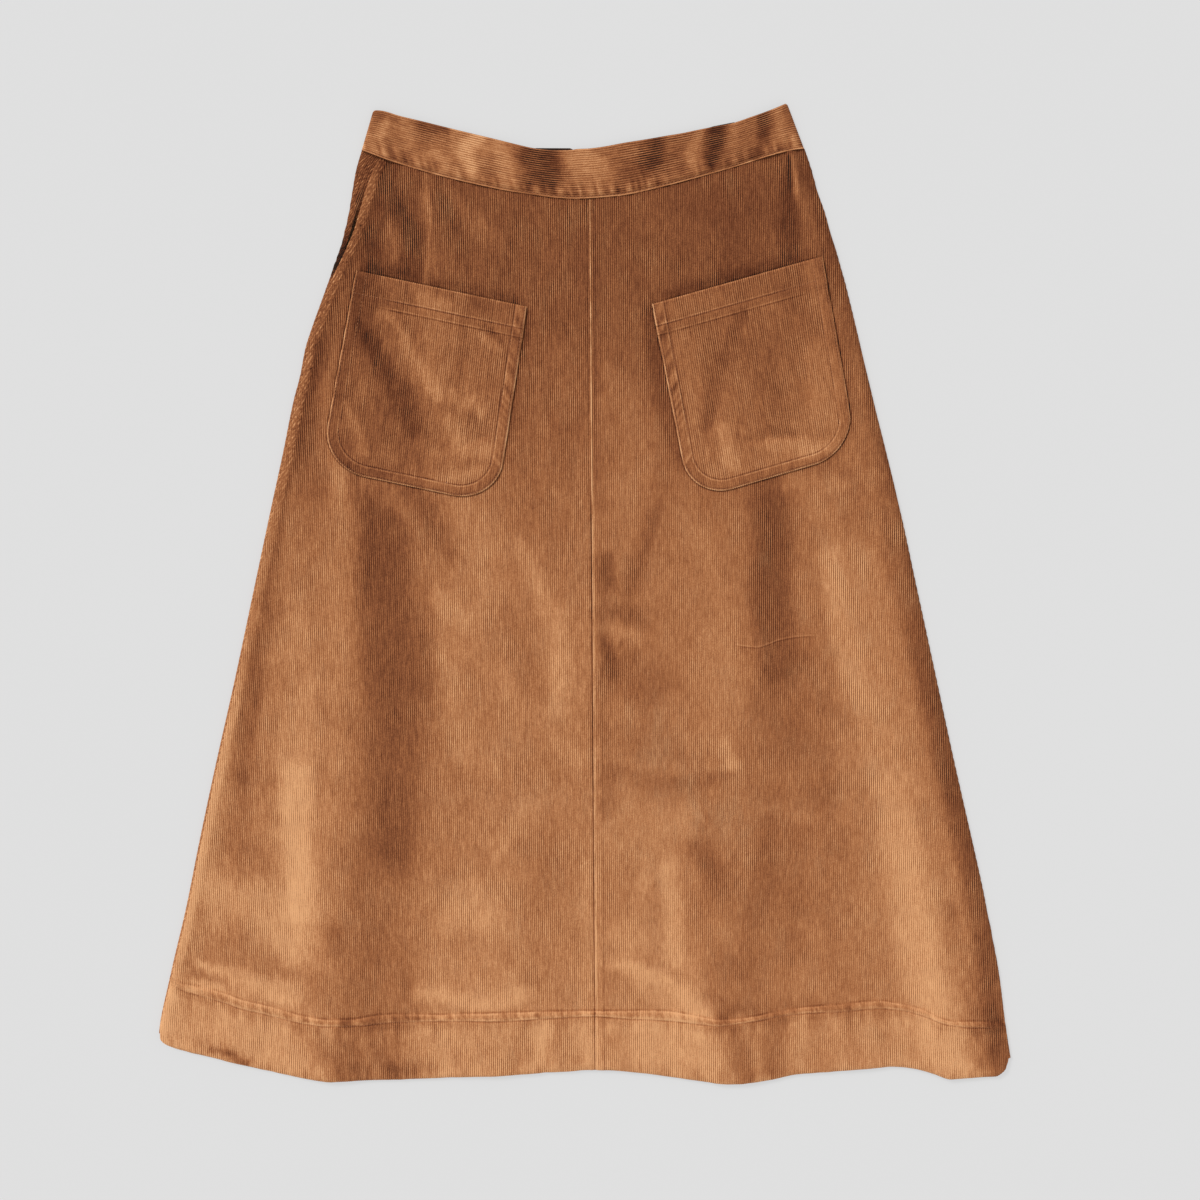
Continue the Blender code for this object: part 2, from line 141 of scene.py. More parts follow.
def noise(x, y, size_x, size_y, seed):
    """Smooth random values from -1 to 1 that change over size_x by size_y millimetres."""
    table = np.random.default_rng(seed).random((64, 64)) * 2 - 1
    gx, gy = np.asarray(x) / size_x, np.asarray(y) / size_y
    ix, iy = np.floor(gx).astype(int), np.floor(gy).astype(int)
    fx, fy = ease(gx - ix), ease(gy - iy)

    def corner(a, b):
        return table[(ix + a) % 64, (iy + b) % 64]

    low = corner(0, 0) * (1 - fx) + corner(1, 0) * fx
    high = corner(0, 1) * (1 - fx) + corner(1, 1) * fx
    return low * (1 - fy) + high * fy


def ripple(x, size, seed):
    """Smooth random values that change along one direction only."""
    return noise(x, 0 * x, size, 1, seed)


Stroke = namedtuple("Stroke", "amount path")  # a path of (px, py, half_width) in the picture


def drawn(*rows):
    """Strokes from rows of (amount, (px, py, half_width), (px, py, half_width), ...)."""
    return [Stroke(amount, path) for amount, *path in rows]


def strokes(table, x, y, sharpness=3.0):
    """The sum of soft strokes drawn in the picture; a higher sharpness gives a firmer edge."""
    total = np.zeros(np.shape(x))
    for stroke in table:
        path = [(*on_cloth(px, py), width * DISTANCE / FOCAL) for px, py, width in stroke.path]
        nearest = np.full(total.shape, 1e9)
        for (ax, ay, aw), (bx, by, bw) in zip(path, path[1:]):
            dx, dy = bx - ax, by - ay
            along = np.clip(((x - ax) * dx + (y - ay) * dy) / (dx * dx + dy * dy), 0, 1)
            away = np.hypot(x - ax - along * dx, y - ay - along * dy)
            nearest = np.minimum(nearest, away / (aw + (bw - aw) * along))
        total = total + stroke.amount * np.exp(-(nearest**sharpness))
    return total


# ---------------------------------------------------------------- sizes
PITCH = 1.81  # from rib to rib
RIB = ((0.0, 0.0), (0.32, 1.0), (0.68, 1.0))  # (share of the pitch, height)
RIB_DEPTH = 0.42
CLOTH = 1.6
HEM_CLOTH = 2.6
BAND_CLOTH = 2.6
SEAM_GAP = 0.12
LAYER_GAP = 0.8
FOLD_HEIGHT = 6.0
HEM_FOLD_HEIGHT = 7.4
FOLD_DEPTH = 5.0
RIGHT_FOLD_DEPTH = 15.0  # the right-hand fold rolls off more slowly above
FOLD_SETTLES = 22.0
HEM_STEP = 3.0
UNDER_TURN = 9.0
WALL = 1.2  # thickness of a single layer's shell under its ribs
SEWN = 0.08  # how far apart two pieces' cloth ends at a seam
INSIDE_NAP = -0.20  # the cloth's plain inner side, which the waist shows a little of
SIDE_STRIP = 8.5  # the strip of the left-hand seam, whose ribs lie along the seam

Side = namedtuple("Side", "y left_fold seam_inset right_fold")
SIDES = (
    Side(406, -193, 17.5, 180),
    Side(390, -198.4, 15.0, 186),
    Side(374, -201.8, 11.7, 191),
    Side(355, -205.8, 9.5, 198),
    Side(339, -210.2, 8.4, 203),
    Side(324, -214.8, 5.9, 208),
    Side(314, -219.0, 4.9, 211.1),
    Side(306, -221.8, 3.2, 213.4),
    Side(298, -224.8, 2.0, 215.9),
    Side(283, -230.8, 2.0, 220.1),
    Side(262, -239.3, 2.0, 225.9),
    Side(241, -246.9, 2.0, 231.5),
    Side(219, -252.0, 2.0, 237.2),
    Side(197, -258.7, 2.0, 243),
    Side(153, -269.4, 2.0, 255),
    Side(112, -280, 2.0, 266),
    Side(33, -300, 2.0, 285),
    Side(-50, -321, 2.0, 305),
    Side(-129, -342, 2.0, 324),
    Side(-204, -361, 2.0, 343),
    Side(-262, -375, 2.0, 357),
    Side(-332, -394, 1.6, 372),
    Side(-389, -407, 0.5, 381),
    Side(-442, -410, 0.3, 391),
)

Point = namedtuple("Point", "x y")
WAIST_SEAM = (
    Point(-193, 406),
    Point(-169, 397),
    Point(-113, 381),
    Point(-59, 370),
    Point(-13, 365),
    Point(22, 367),
    Point(63, 375),
    Point(117, 389),
    Point(167, 403),
    Point(180, 405),
)
WAIST_LEFT, WAIST_RIGHT = WAIST_SEAM[0].x, WAIST_SEAM[-1].x
Mark = namedtuple("Mark", "px py")


def marks(*rows):
    """Places in the picture from rows of (px, py)."""
    return [Mark(*row) for row in rows]


BAND_TOP_MARKS = marks(  # the upper edge of the front of the waistband, in the picture
    (372.2, 113.5), (373.3, 111.3), (375.5, 110.2), (380, 110.4), (400, 115.7), (425, 121.7), (450, 128),
    (475, 134), (500, 140), (520, 145), (533, 147.8), (548, 149.6), (560, 150.2), (570, 149.8),
    (578, 148.7), (588, 148.3), (600, 146.9), (625, 142.4), (650, 138.4), (667, 135.4), (680, 133.3),
    (700, 129.2), (715, 126.2), (730, 123.6), (740, 120.6), (750, 117), (760, 113.6), (775, 108),
    (783, 104.6), (785.6, 103.6), (788, 105),
)
HEM_RIDGE = marks(  # the upper edge of the turned-up hem, in the picture
    (168, 976), (181, 982), (203, 987.5), (225, 993), (245, 1000), (265, 1005), (285, 1011), (305, 1016),
    (330, 1019), (350, 1019), (380, 1015.2), (400, 1014.4), (440, 1015), (470, 1013.6), (520, 1012),
    (600, 1011), (640, 1010.4), (662, 1011), (690, 1014.5), (720, 1019), (738, 1018), (756, 1015.6),
    (776, 1012), (796, 1008.6), (838, 1004.4), (860, 1001.8), (880, 1001), (902, 1004.4), (922, 1009),
    (940, 1017.5), (956, 1021), (976, 1021), (1002, 1022),
)
HEM_STITCHES = marks(  # the row of stitches below it, in the picture
    (169, 981), (181, 989.5), (201, 996), (225, 1002.4), (243, 1008.6), (265, 1014), (285, 1019.6),
    (305, 1023.6), (325, 1025.4), (360, 1025.4), (380, 1023.6), (400, 1022.2), (440, 1021.4),
    (500, 1020.8), (540, 1019), (580, 1017), (597, 1016.4), (630, 1018.6), (660, 1020.4), (690, 1023),
    (718, 1025.2), (738, 1022.8), (756, 1020.4), (776, 1017), (794, 1014.4), (816, 1012.8), (838, 1011.4),
    (860, 1009.4), (875, 1008.4), (896, 1009.6), (910, 1012), (926, 1016.5), (940, 1022), (956, 1025.5),
    (974, 1027.2), (1002, 1026.4),
)
HEM_EDGE = marks(  # the hem itself, in the picture
    (158.4, 1029), (160, 1037), (164, 1042), (171, 1046.2), (181, 1050), (225, 1060.4), (265, 1070),
    (295, 1076.4), (320, 1080), (332, 1081.2), (360, 1080.6), (400, 1079.6), (440, 1078), (500, 1075.4),
    (540, 1073), (566, 1071.8), (590, 1070), (608, 1070), (640, 1072.6), (660, 1075.4), (693, 1080),
    (731, 1083.3), (767, 1080.4), (798, 1074.4), (827, 1072), (867, 1068.4), (893, 1066.8), (915, 1069),
    (933, 1073.3), (951, 1078.2), (973, 1077.2), (995, 1076), (1004.4, 1069.6), (1009, 1058),
)
BACK_HEM_RISE, BACK_HEM_REACH = 5.0, 40.0
BACK_BAND_DROP = 1.6
BACK_BAND_SHOWS = (  # straight stretches of the back's band seen past the front's, in the picture
    (Mark(531, 147.9), Mark(576, 148.1)),
    (Mark(703, 128.2), Mark(738, 121.2)),
)

Flute = namedtuple("Flute", "hem_x top_x top_y half_width rise")
FLUTES = (
    Flute(-338, -262, 40, 36, 1.7),
    Flute(-252, -196, 95, 46, 2.6),
    Flute(-92, -76, -40, 48, 1.7),
    Flute(30, 24, -150, 40, 1.0),
    Flute(128, 104, 95, 52, 2.6),
    Flute(243, 196, -60, 42, 1.4),
    Flute(333, 256, 95, 42, 2.6),
)
Tuck = namedtuple("Tuck", "top_x top_y foot_x foot_y steep_width slow_width rise")
TUCK = Tuck(167, 403, 180, 305, 5, 20, 1.0)
Slit = namedtuple("Slit", "y edge_lift back_drop")
SLIT = (
    Slit(420, 0.2, 1.4),
    Slit(385, 0.2, 1.4),
    Slit(365, 0.3, 1.7),
    Slit(335, 0.9, 2.6),
    Slit(312, 0.5, 2.2),
    Slit(296, 0.0, 0.0),
    Slit(-450, 0.0, 0.0),
)
SLIT_REACH = 24.0

EDGE_HEIGHT, STITCH_HEIGHT = 5.0, 5.5  # above the floor, where marks in the picture lie
left_fold = smooth((s.y, s.left_fold) for s in SIDES)
right_fold = smooth((s.y, s.right_fold) for s in SIDES)
seam_inset = smooth((s.y, s.seam_inset) for s in SIDES)
BAND_TOP = [Point(*on_cloth(*mark, EDGE_HEIGHT)) for mark in BAND_TOP_MARKS]
band_top = smooth(BAND_TOP)
waist_seam = smooth(WAIST_SEAM)
hem_ridge = smooth(on_cloth(*mark, EDGE_HEIGHT) for mark in HEM_RIDGE)
hem_stitches = smooth(on_cloth(*mark, STITCH_HEIGHT) for mark in HEM_STITCHES)
hem_edge = smooth(on_cloth(*mark, EDGE_HEIGHT) for mark in HEM_EDGE)
HEM_LEFT, HEM_RIGHT = (on_cloth(*HEM_EDGE[end], EDGE_HEIGHT)[0] for end in (0, -1))
slit_lift = smooth((s.y, s.edge_lift) for s in SLIT)
slit_drop = smooth((s.y, s.back_drop) for s in SLIT)


# ---------------------------------------------------------------- creases and puckers, in the picture
CREASES = drawn(
    # across the right-hand half, above and below the knee
    (0.5, (780, 640, 2.2), (812, 636, 2.2)), (-0.4, (780, 645, 2.5), (812, 641, 2.5)),
    (0.5, (890, 612, 2.2), (923, 633, 2.2)), (-0.4, (888, 616, 2.5), (920, 637, 2.5)),
    (-0.3, (742, 500, 4), (760, 506, 4)),
    # pulls that fan out under the left-hand pocket
    (-0.5, (346, 470, 7), (352, 570, 7)), (0.5, (392, 500, 8), (430, 545, 8)),
    (-0.4, (415, 495, 7), (470, 560, 7)),
    # the hem's edge
    (-1.0, (232, 1053, 3), (254, 1062, 3)), (-0.4, (205, 1050, 4), (236, 1052, 4)),
    (-0.5, (352, 1072, 2.5), (448, 1070, 2.5)), (-0.4, (545, 1071, 2.5), (598, 1067, 2.5)),
    # the left-hand hem, dipping along its stitching
    (0.4, (186, 985, 9), (300, 1012, 9)), (-0.25, (206, 968, 8), (300, 998, 8)),
    # pulls above the right-hand pocket and the hip
    (-0.4, (690, 252, 8), (760, 240, 8)), (0.4, (798, 165, 3), (800, 205, 3)),
    (0.5, (393, 232, 6), (404, 270, 6)), (-0.4, (380, 190, 7), (392, 235, 7)),
    (0.35, (440, 196, 6), (446, 262, 6)), (0.4, (462, 200, 7), (500, 262, 7)),
    (-0.35, (478, 196, 6), (522, 262, 6)),
)
POCKET_CREASES = drawn(
    (-1.0, (380, 318, 10), (412, 432, 10)), (0.4, (352, 318, 8), (366, 360, 8)),
    (0.8, (424, 320, 12), (446, 420, 12)), (-0.4, (470, 330, 5), (476, 372, 5)),
    (-0.5, (458, 448, 3), (486, 436, 3)), (-0.4, (466, 470, 3), (490, 463, 3)),
    (0.6, (356, 400, 7), (368, 452, 7)), (-0.7, (716, 318, 8), (712, 425, 8)),
    (0.4, (735, 330, 9), (730, 460, 9)), (-0.5, (748, 441, 3), (800, 436, 3)),
    (0.4, (752, 446, 4), (800, 441, 4)), (-0.4, (772, 398, 3), (806, 392, 3)),
    (0.5, (812, 300, 9), (822, 420, 9)), (-0.4, (795, 320, 7), (803, 400, 7)),
)


def hem_share(x, y):
    """0 above the turned-up hem, 1 where the cloth is double."""
    return ease((hem_ridge(x) - y) / HEM_STEP)


def cloth_at(x, y):
    return CLOTH + (HEM_CLOTH - CLOTH) * hem_share(x, y)


def fold_height(x, y):
    return FOLD_HEIGHT + (HEM_FOLD_HEIGHT - FOLD_HEIGHT) * hem_share(x, y)


def fold_rise(inside, height, depth):
    """Height of a side fold's outer surface this far in from its edge."""
    reach = 1 - np.clip(inside, 0.0, depth) / depth
    return height / 2 * (1 + np.sqrt(np.maximum(0.0, 1 - reach * reach)))


def flutes_at(x, y):
    lift = 0.0
    for flute in FLUTES:
        foot = hem_edge(flute.hem_x)
        up = (y - foot) / (flute.top_y - foot)
        centre = flute.hem_x + (flute.top_x - flute.hem_x) * up
        lift = lift + flute.rise * bump(x - centre, flute.half_width) * ease(1 - up)
    return lift


def tuck_at(x, y):
    down = (TUCK.top_y - y) / (TUCK.top_y - TUCK.foot_y)
    away = x - (TUCK.top_x + (TUCK.foot_x - TUCK.top_x) * down)
    steep, slow = 1 + away / TUCK.steep_width, 1 - away / TUCK.slow_width
    return TUCK.rise * ease(np.minimum(steep, slow)) * bump(np.maximum(down, 0.0), 1.0)


def centre_seam(x, y):
    """The pressed seam: a crisp groove, and the allowances' ridge beside it."""
    groove_x = -2.6 + 1.0 * ease((125 - y) / 25)
    groove = 0.35 * soft(x - groove_x, 1.1) + 0.25 * soft(x, 3.5)
    width = 8.2 + 0.4 * noise(x * 0, y, 1, 45, 5)
    ridge = 0.4 * ease((x + 0.5) / 2) * ease((width - x) / 2.2)
    left = 0.15 * ease((-x + 0.5) / 2) * ease((9.0 + x) / 3)
    return ridge + left - groove


def hem_relief(x, y):
    """Grooves and puckers along the hem's stitching, and its rounded edge."""
    line, ridge, edge = hem_stitches(x), hem_ridge(x), hem_edge(x)
    groove = -0.5 * soft(y - line, 0.9)
    between = bump(y - (line + ridge) / 2, (ridge - line) / 2 + 1.5)
    pull = ripple(x + 0.5 * y, 2.7, 11) + 0.7 * ripple(x, 7.5, 12)
    puckers = 0.34 * pull * (0.8 * between + 0.6 * soft(y - line, 7))
    above = -0.25 * soft(y - ridge - 1.5, 1.6)
    low = ripple(x, 8.0, 13) * 0.35 * soft(y - edge, 9)
    rounding = -0.9 * (1 - ease((y - edge) / 2.4))
    return groove + puckers + above + low + rounding + 0.15 * between


def waist_relief(x, y):
    """Short gathers where the body is sewn into the waistband."""
    down = waist_seam(x) - y
    pull = ripple(x, 3.6, 21) + 0.7 * ripple(x, 9.0, 22)
    return 0.2 * pull * soft(down, 14) - 0.12 * soft(down, 2.2)


def left_ridge(x, y):
    """The allowances of the left-hand side seam, pressed under the front's edge."""
    inside = x - left_fold(y) - seam_inset(y)
    width = 9.5 + 0.7 * noise(x * 0, y, 1, 30, 31)
    band = ease(inside / 1.2) * ease((width - inside) / 1.6)
    valley = -0.25 * bump(inside - 13, 5)
    return (0.45 * band + valley) * (0.4 + 0.6 * ease((y - 60) / 100))


def front_surface(x, y, edge=True):
    """Height of the front's outer surface at the crests of its ribs."""
    height = fold_height(x, y)
    from_left, from_right = x - left_fold(y), right_fold(y) - x
    left = fold_rise(from_left, height, FOLD_DEPTH)
    right = fold_rise(from_right, height, RIGHT_FOLD_DEPTH)
    past_left, past_right = from_left - FOLD_DEPTH, from_right - RIGHT_FOLD_DEPTH
    settled = ease(np.minimum(past_left, past_right) / FOLD_SETTLES)
    level = 2 * cloth_at(x, y) + LAYER_GAP + flutes_at(x, y)
    inside = np.minimum(from_left, from_right)
    relief = (
        centre_seam(x, y)
        + hem_relief(x, y)
        + waist_relief(x, y)
        + strokes(CREASES, x, y)
        + 0.22 * noise(x, y, 17, 60, 41)
        + 0.16 * noise(x, y, 7, 26, 42)
    ) * ease(inside / 9)
    opening = slit_lift(y) * ease(1 - from_left / SLIT_REACH)
    tuck = tuck_at(x, y) * ease((inside - 1) / FOLD_DEPTH)
    rise = np.minimum(left, right) if edge else height
    return rise + (level - height) * settled + opening + tuck + relief + left_ridge(x, y)


# ---------------------------------------------------------------- brushed pile with painted light and shade, in the picture
def wander(x, y):
    """A place a little off this one, so that no stroke of pile tone or painted shade has an even edge."""
    across = x + 3.0 * noise(x, y, 16, 34, 81) + 1.2 * noise(x, y, 4, 15, 82)
    return across, y + 8.0 * noise(x, y, 22, 50, 83) + 2.5 * noise(x, y, 4, 9, 84)


LEVELS = smooth((  # how light the cloth is painted at each height of the skirt, darker towards the waist: (y, tone)
    (450, 0.09), (364, 0.12), (281, 0.19), (196, 0.31), (109, 0.47), (20, 0.57), (-72, 0.60),
    (-165, 0.62), (-260, 0.66), (-350, 0.68), (-385, 0.86), (-440, 0.84),
))
# soft strokes read off the picture: brushed pile that lies light or dark, together with the painted light
# and shade of the skirt's flutes, folds and pulls and the painted shade round the pockets
BODY_PILE_AND_SHADE = drawn(
    # painted shade of the wide dark band down the left-hand half, a flute's side turned from the light
    (-0.40, (382, 505, 22), (382, 560, 30), (390, 640, 36), (395, 720, 36), (391, 838, 34)),
    (-0.10, (374, 500, 14), (384, 600, 18), (386, 690, 16)), (-0.10, (392, 800, 20), (392, 850, 18)),
    (-0.20, (386, 890, 30), (372, 940, 44), (362, 1000, 44)),
    (-0.38, (346, 1024, 12), (352, 1078, 20), (392, 1078, 26), (384, 1034, 24)),
    # painted light on the bright band beside it, a flute's side turned to the light
    (0.12, (338, 470, 10), (343, 600, 16), (347, 690, 20)), (0.16, (290, 600, 12), (300, 680, 16)),
    (0.24, (306, 690, 13), (300, 760, 19), (298, 850, 26), (302, 960, 18)),
    (0.30, (300, 772, 14), (298, 840, 15), (299, 920, 14)), (0.10, (332, 740, 12), (334, 850, 12)),
    # shade along the left-hand side
    (-0.18, (284, 490, 7), (268, 570, 9), (256, 640, 10), (249, 700, 12), (240, 780, 14)),
    (-0.10, (262, 672, 8), (262, 690, 8)), (-0.14, (240, 780, 14), (236, 845, 14), (262, 868, 14)),
    (0.15, (287, 700, 8), (280, 760, 8), (283, 815, 9)), (0.26, (222, 893, 22), (275, 915, 26)),
    (-0.04, (224, 947, 9), (270, 950, 12)), (0.32, (198, 967, 6), (240, 975, 8), (290, 992, 10)),
    (-0.10, (182, 968, 5), (186, 970, 5)), (0.12, (190, 990, 7), (256, 996, 8), (296, 1006, 6)),
    (0.14, (182, 1010, 24), (270, 1036, 28)), (-0.20, (216, 1047, 7), (250, 1058, 7)),
    (-0.50, (212, 1048, 3), (230, 1053, 4.5), (250, 1061, 3)),
    # between the dark band and the centre seam
    (-0.16, (405, 484, 7), (426, 504, 11), (440, 532, 11), (448, 560, 9)),
    (0.10, (470, 500, 22), (490, 590, 28), (500, 660, 30), (530, 700, 26)),
    (0.12, (455, 490, 10), (486, 545, 14)), (0.20, (436, 602, 10), (462, 622, 15)),
    (0.13, (452, 660, 12), (462, 748, 18), (490, 768, 12)),
    (0.22, (519, 540, 8), (534, 570, 9), (546, 602, 9)),
    (-0.14, (508, 610, 10), (522, 660, 14), (540, 700, 10)), (0.22, (562, 618, 12), (558, 706, 14)),
    (0.16, (556, 740, 8), (577, 760, 10)), (0.10, (525, 800, 12), (500, 850, 12)),
    (-0.10, (540, 830, 20), (535, 900, 18)), (0.20, (438, 925, 12), (470, 900, 18), (496, 930, 20)),
    (0.30, (420, 990, 8), (470, 1000, 10), (520, 998, 12)), (0.14, (488, 960, 9), (516, 990, 9)),
    (0.12, (587, 860, 7), (589, 1000, 8)),
    # right of the centre seam
    (-0.30, (606, 560, 7), (610, 588, 7)), (-0.20, (601, 617, 7), (640, 624, 8)),
    (-0.28, (602, 642, 7), (610, 668, 9)), (-0.16, (601, 570, 7), (603, 602, 8)),
    (-0.14, (607, 785, 8), (608, 820, 8)), (-0.10, (600, 735, 16), (650, 735, 20), (682, 755, 10)),
    (-0.10, (606, 616, 10), (650, 624, 12)), (-0.08, (600, 655, 10), (655, 655, 12)),
    (-0.22, (618, 676, 18), (655, 688, 22)), (-0.20, (656, 510, 9), (640, 560, 9), (628, 600, 8)),
    (0.14, (610, 631, 5), (634, 644, 8)), (0.10, (702, 530, 12), (714, 620, 16), (722, 740, 16)),
    (0.26, (726, 745, 7), (732, 768, 9)), (-0.18, (610, 778, 12), (690, 786, 11), (722, 782, 8)),
    (0.14, (620, 830, 26), (692, 824, 20)), (-0.42, (770, 486, 19), (772, 600, 22), (782, 660, 24)),
    (-0.22, (784, 690, 28), (790, 740, 26)), (0.13, (820, 510, 16), (846, 600, 24)),
    (0.22, (828, 560, 13), (844, 640, 14), (860, 700, 14)), (0.20, (868, 710, 14), (884, 770, 18)),
    (0.34, (888, 790, 18), (902, 860, 22), (916, 920, 24), (928, 1000, 26)),
    (0.14, (932, 1000, 28), (946, 1066, 28)), (-0.28, (697, 856, 12), (716, 884, 15)),
    (-0.18, (770, 820, 12), (764, 880, 14), (752, 930, 14)),
    (-0.10, (760, 830, 40), (820, 900, 50), (800, 980, 46)), (0.10, (796, 780, 9), (798, 820, 10)),
    (0.12, (810, 940, 16), (815, 985, 18)), (-0.15, (716, 1008, 7), (850, 1006, 7)),
    (0.38, (612, 962, 7), (648, 978, 10), (700, 1006, 14)), (0.30, (668, 868, 10), (673, 960, 12)),
    (-0.06, (650, 884, 8), (646, 930, 8)), (0.12, (648, 850, 9), (646, 880, 8)),
    (-0.08, (640, 955, 7), (676, 978, 6)), (0.20, (634, 985, 9), (662, 1008, 10), (700, 1034, 9)),
    (0.18, (616, 930, 11), (634, 960, 11)),
    # smaller patches
    (-0.12, (424, 648, 12), (420, 692, 12)), (-0.12, (334, 836, 16), (338, 850, 16)),
    (-0.10, (320, 775, 14), (352, 790, 14)), (-0.12, (283, 603, 9), (290, 600, 9)),
    (0.13, (445, 955, 14), (480, 988, 16)), (-0.10, (412, 940, 10), (404, 985, 10), (412, 1018, 9)),
    (-0.14, (312, 1040, 13), (322, 1050, 13)), (0.13, (350, 1034, 8), (390, 1034, 8)),
    (-0.12, (360, 850, 18), (352, 895, 16)), (-0.12, (334, 938, 10), (338, 948, 10)),
    (-0.12, (304, 470, 12), (310, 500, 12)), (-0.14, (350, 470, 9), (356, 495, 9)),
    (0.12, (312, 345, 6), (296, 410, 6), (287, 450, 6)), (-0.12, (614, 808, 14), (622, 832, 12)),
    (-0.14, (708, 995, 12), (732, 1002, 12)), (-0.15, (756, 1018, 8), (770, 1070, 8)),
    (-0.14, (972, 1045, 9), (990, 1062, 8)), (-0.12, (978, 940, 8), (988, 985, 8)),
    (0.14, (634, 922, 10), (640, 944, 10)), (0.12, (645, 1024, 9), (672, 1028, 9)),
    (0.10, (283, 815, 9), (284, 835, 8)), (0.12, (203, 855, 10), (214, 922, 10)),
    (0.16, (262, 945, 14), (296, 945, 12)), (0.14, (196, 992, 8), (250, 990, 7), (292, 1006, 7)),
    (0.12, (176, 985, 6), (172, 1005, 6)), (0.12, (170, 1040, 6), (250, 1056, 6), (320, 1074, 6)),
    (0.12, (856, 370, 6), (861, 420, 7), (848, 462, 8)), (-0.08, (700, 262, 26), (760, 262, 20)),
    (-0.08, (400, 195, 14), (404, 235, 12)), (-0.08, (822, 1025, 10), (826, 1060, 10)),
    (0.05, (480, 735, 20), (560, 735, 22)), (-0.12, (258, 640, 9), (252, 700, 10), (244, 735, 9)),
    (0.10, (232, 760, 9), (230, 820, 9)), (0.10, (279, 650, 8), (285, 660, 8)),
    (0.10, (333, 690, 8), (337, 712, 8)), (0.09, (284, 800, 8), (290, 845, 9)),
    (0.14, (262, 925, 10), (292, 960, 12)), (0.12, (200, 995, 8), (292, 1010, 8)),
    (0.10, (210, 920, 10), (222, 926, 10)), (0.08, (166, 985, 6), (176, 1000, 6)),
    (-0.12, (418, 1005, 8), (420, 1020, 8)), (-0.12, (450, 1046, 7), (454, 1060, 7)),
    (-0.12, (322, 1064, 8), (338, 1068, 8)), (-0.11, (580, 1064, 7), (588, 1068, 7)),
    (-0.10, (420, 915, 9), (426, 928, 9)), (-0.12, (606, 650, 7), (632, 658, 9)),
    (-0.10, (490, 606, 7), (498, 650, 7)), (0.10, (446, 640, 8), (482, 664, 8)),
    (-0.08, (604, 660, 6), (606, 770, 6)), (0.08, (584, 600, 6), (584, 690, 6)),
    (-0.08, (590, 580, 6), (600, 590, 6)),
    (-0.14, (889, 545, 8), (905, 610, 9), (925, 690, 11), (934, 712, 9)),
    (-0.07, (944, 770, 9), (962, 830, 9), (974, 880, 9)), (0.12, (906, 765, 9), (918, 795, 9)),
    (0.14, (998, 995, 9), (998, 1015, 9)), (-0.14, (962, 1020, 9), (968, 1056, 9), (988, 1070, 8)),
    (-0.10, (744, 1022, 8), (752, 1032, 8)), (0.12, (655, 1069, 8), (690, 1076, 6)),
    (0.08, (716, 1080, 5), (752, 1084, 5)), (-0.07, (800, 965, 20), (850, 990, 20)),
    (-0.08, (812, 710, 12), (862, 706, 12)), (-0.08, (828, 730, 12), (826, 800, 12)),
    (-0.10, (733, 862, 8), (736, 880, 8)), (-0.09, (700, 800, 10), (712, 820, 10)),
    (-0.08, (757, 790, 10), (782, 792, 10)), (0.10, (712, 768, 8), (728, 772, 8)),
    (0.08, (776, 664, 9), (788, 668, 9)), (-0.08, (745, 650, 9), (760, 664, 9)),
    (0.10, (646, 868, 8), (640, 905, 9)), (0.08, (656, 960, 9), (684, 972, 9)),
    (-0.08, (524, 985, 9), (534, 988, 9)), (0.08, (900, 930, 10), (902, 985, 10)),
    (0.08, (953, 955, 10), (960, 970, 10)), (0.07, (572, 945, 9), (575, 985, 9)),
    (0.08, (512, 780, 12), (530, 840, 12)), (-0.07, (372, 505, 9), (362, 620, 9)),
    (0.10, (384, 496, 9), (396, 512, 9)), (0.09, (446, 512, 8), (458, 522, 8)),
    (0.07, (440, 236, 12), (436, 330, 12)), (-0.09, (372, 262, 12), (386, 300, 12)),
    (-0.07, (520, 380, 12), (520, 470, 12)), (-0.07, (600, 462, 10), (604, 500, 10)),
    (0.08, (812, 300, 10), (846, 330, 9)), (0.07, (870, 470, 9), (894, 480, 7), (902, 530, 7)),
    (-0.08, (676, 262, 14), (678, 300, 12)), (0.08, (713, 236, 14), (728, 240, 12)),
    (0.10, (354, 212, 5), (352, 236, 5)), (-0.12, (340, 236, 5), (338, 250, 5)),
    (0.10, (335, 262, 5), (332, 278, 5)), (-0.07, (700, 560, 14), (706, 600, 14)),
    (-0.07, (714, 655, 10), (716, 676, 10)), (0.10, (366, 165, 6), (353, 215, 6), (352, 238, 5)),
    (-0.12, (336, 236, 5), (334, 252, 5)), (0.08, (196, 970, 6), (244, 986, 7), (300, 1004, 8)),
    (-0.10, (600, 628, 6), (644, 634, 7)), (0.08, (652, 1024, 9), (672, 1036, 9)),
    (0.09, (720, 1082, 6), (746, 1084, 6)), (0.07, (402, 760, 10), (402, 820, 10)),
    (-0.09, (886, 505, 4), (894, 530, 4)), (-0.09, (303, 668, 7), (304, 688, 7)),
    (-0.07, (418, 480, 10), (432, 540, 10)), (-0.10, (716, 279, 6), (755, 276, 6), (788, 267, 5)),
    (0.09, (852, 350, 7), (860, 400, 8)), (0.07, (580, 690, 8), (584, 730, 9)),
    (-0.07, (640, 752, 10), (704, 762, 10)), (-0.07, (700, 830, 12), (740, 880, 12)),
    (-0.06, (345, 860, 14), (420, 870, 16)), (-0.10, (262, 600, 8), (286, 612, 10)),
    (0.08, (436, 492, 6), (490, 490, 6)), (0.08, (380, 505, 12), (392, 690, 16)),
    (-0.08, (884, 780, 10), (890, 820, 10)), (-0.07, (860, 705, 12), (892, 730, 12)),
    (0.09, (386, 498, 9), (396, 510, 9)), (-0.10, (428, 645, 9), (434, 676, 9)),
    (0.10, (766, 487, 9), (786, 492, 9)), (0.08, (836, 480, 9), (842, 510, 9)),
    (0.08, (896, 500, 5), (906, 545, 5)), (0.10, (232, 984, 7), (256, 986, 7)),
    (0.08, (276, 1002, 8), (292, 1022, 9)), (-0.10, (192, 982, 5), (234, 988, 5)),
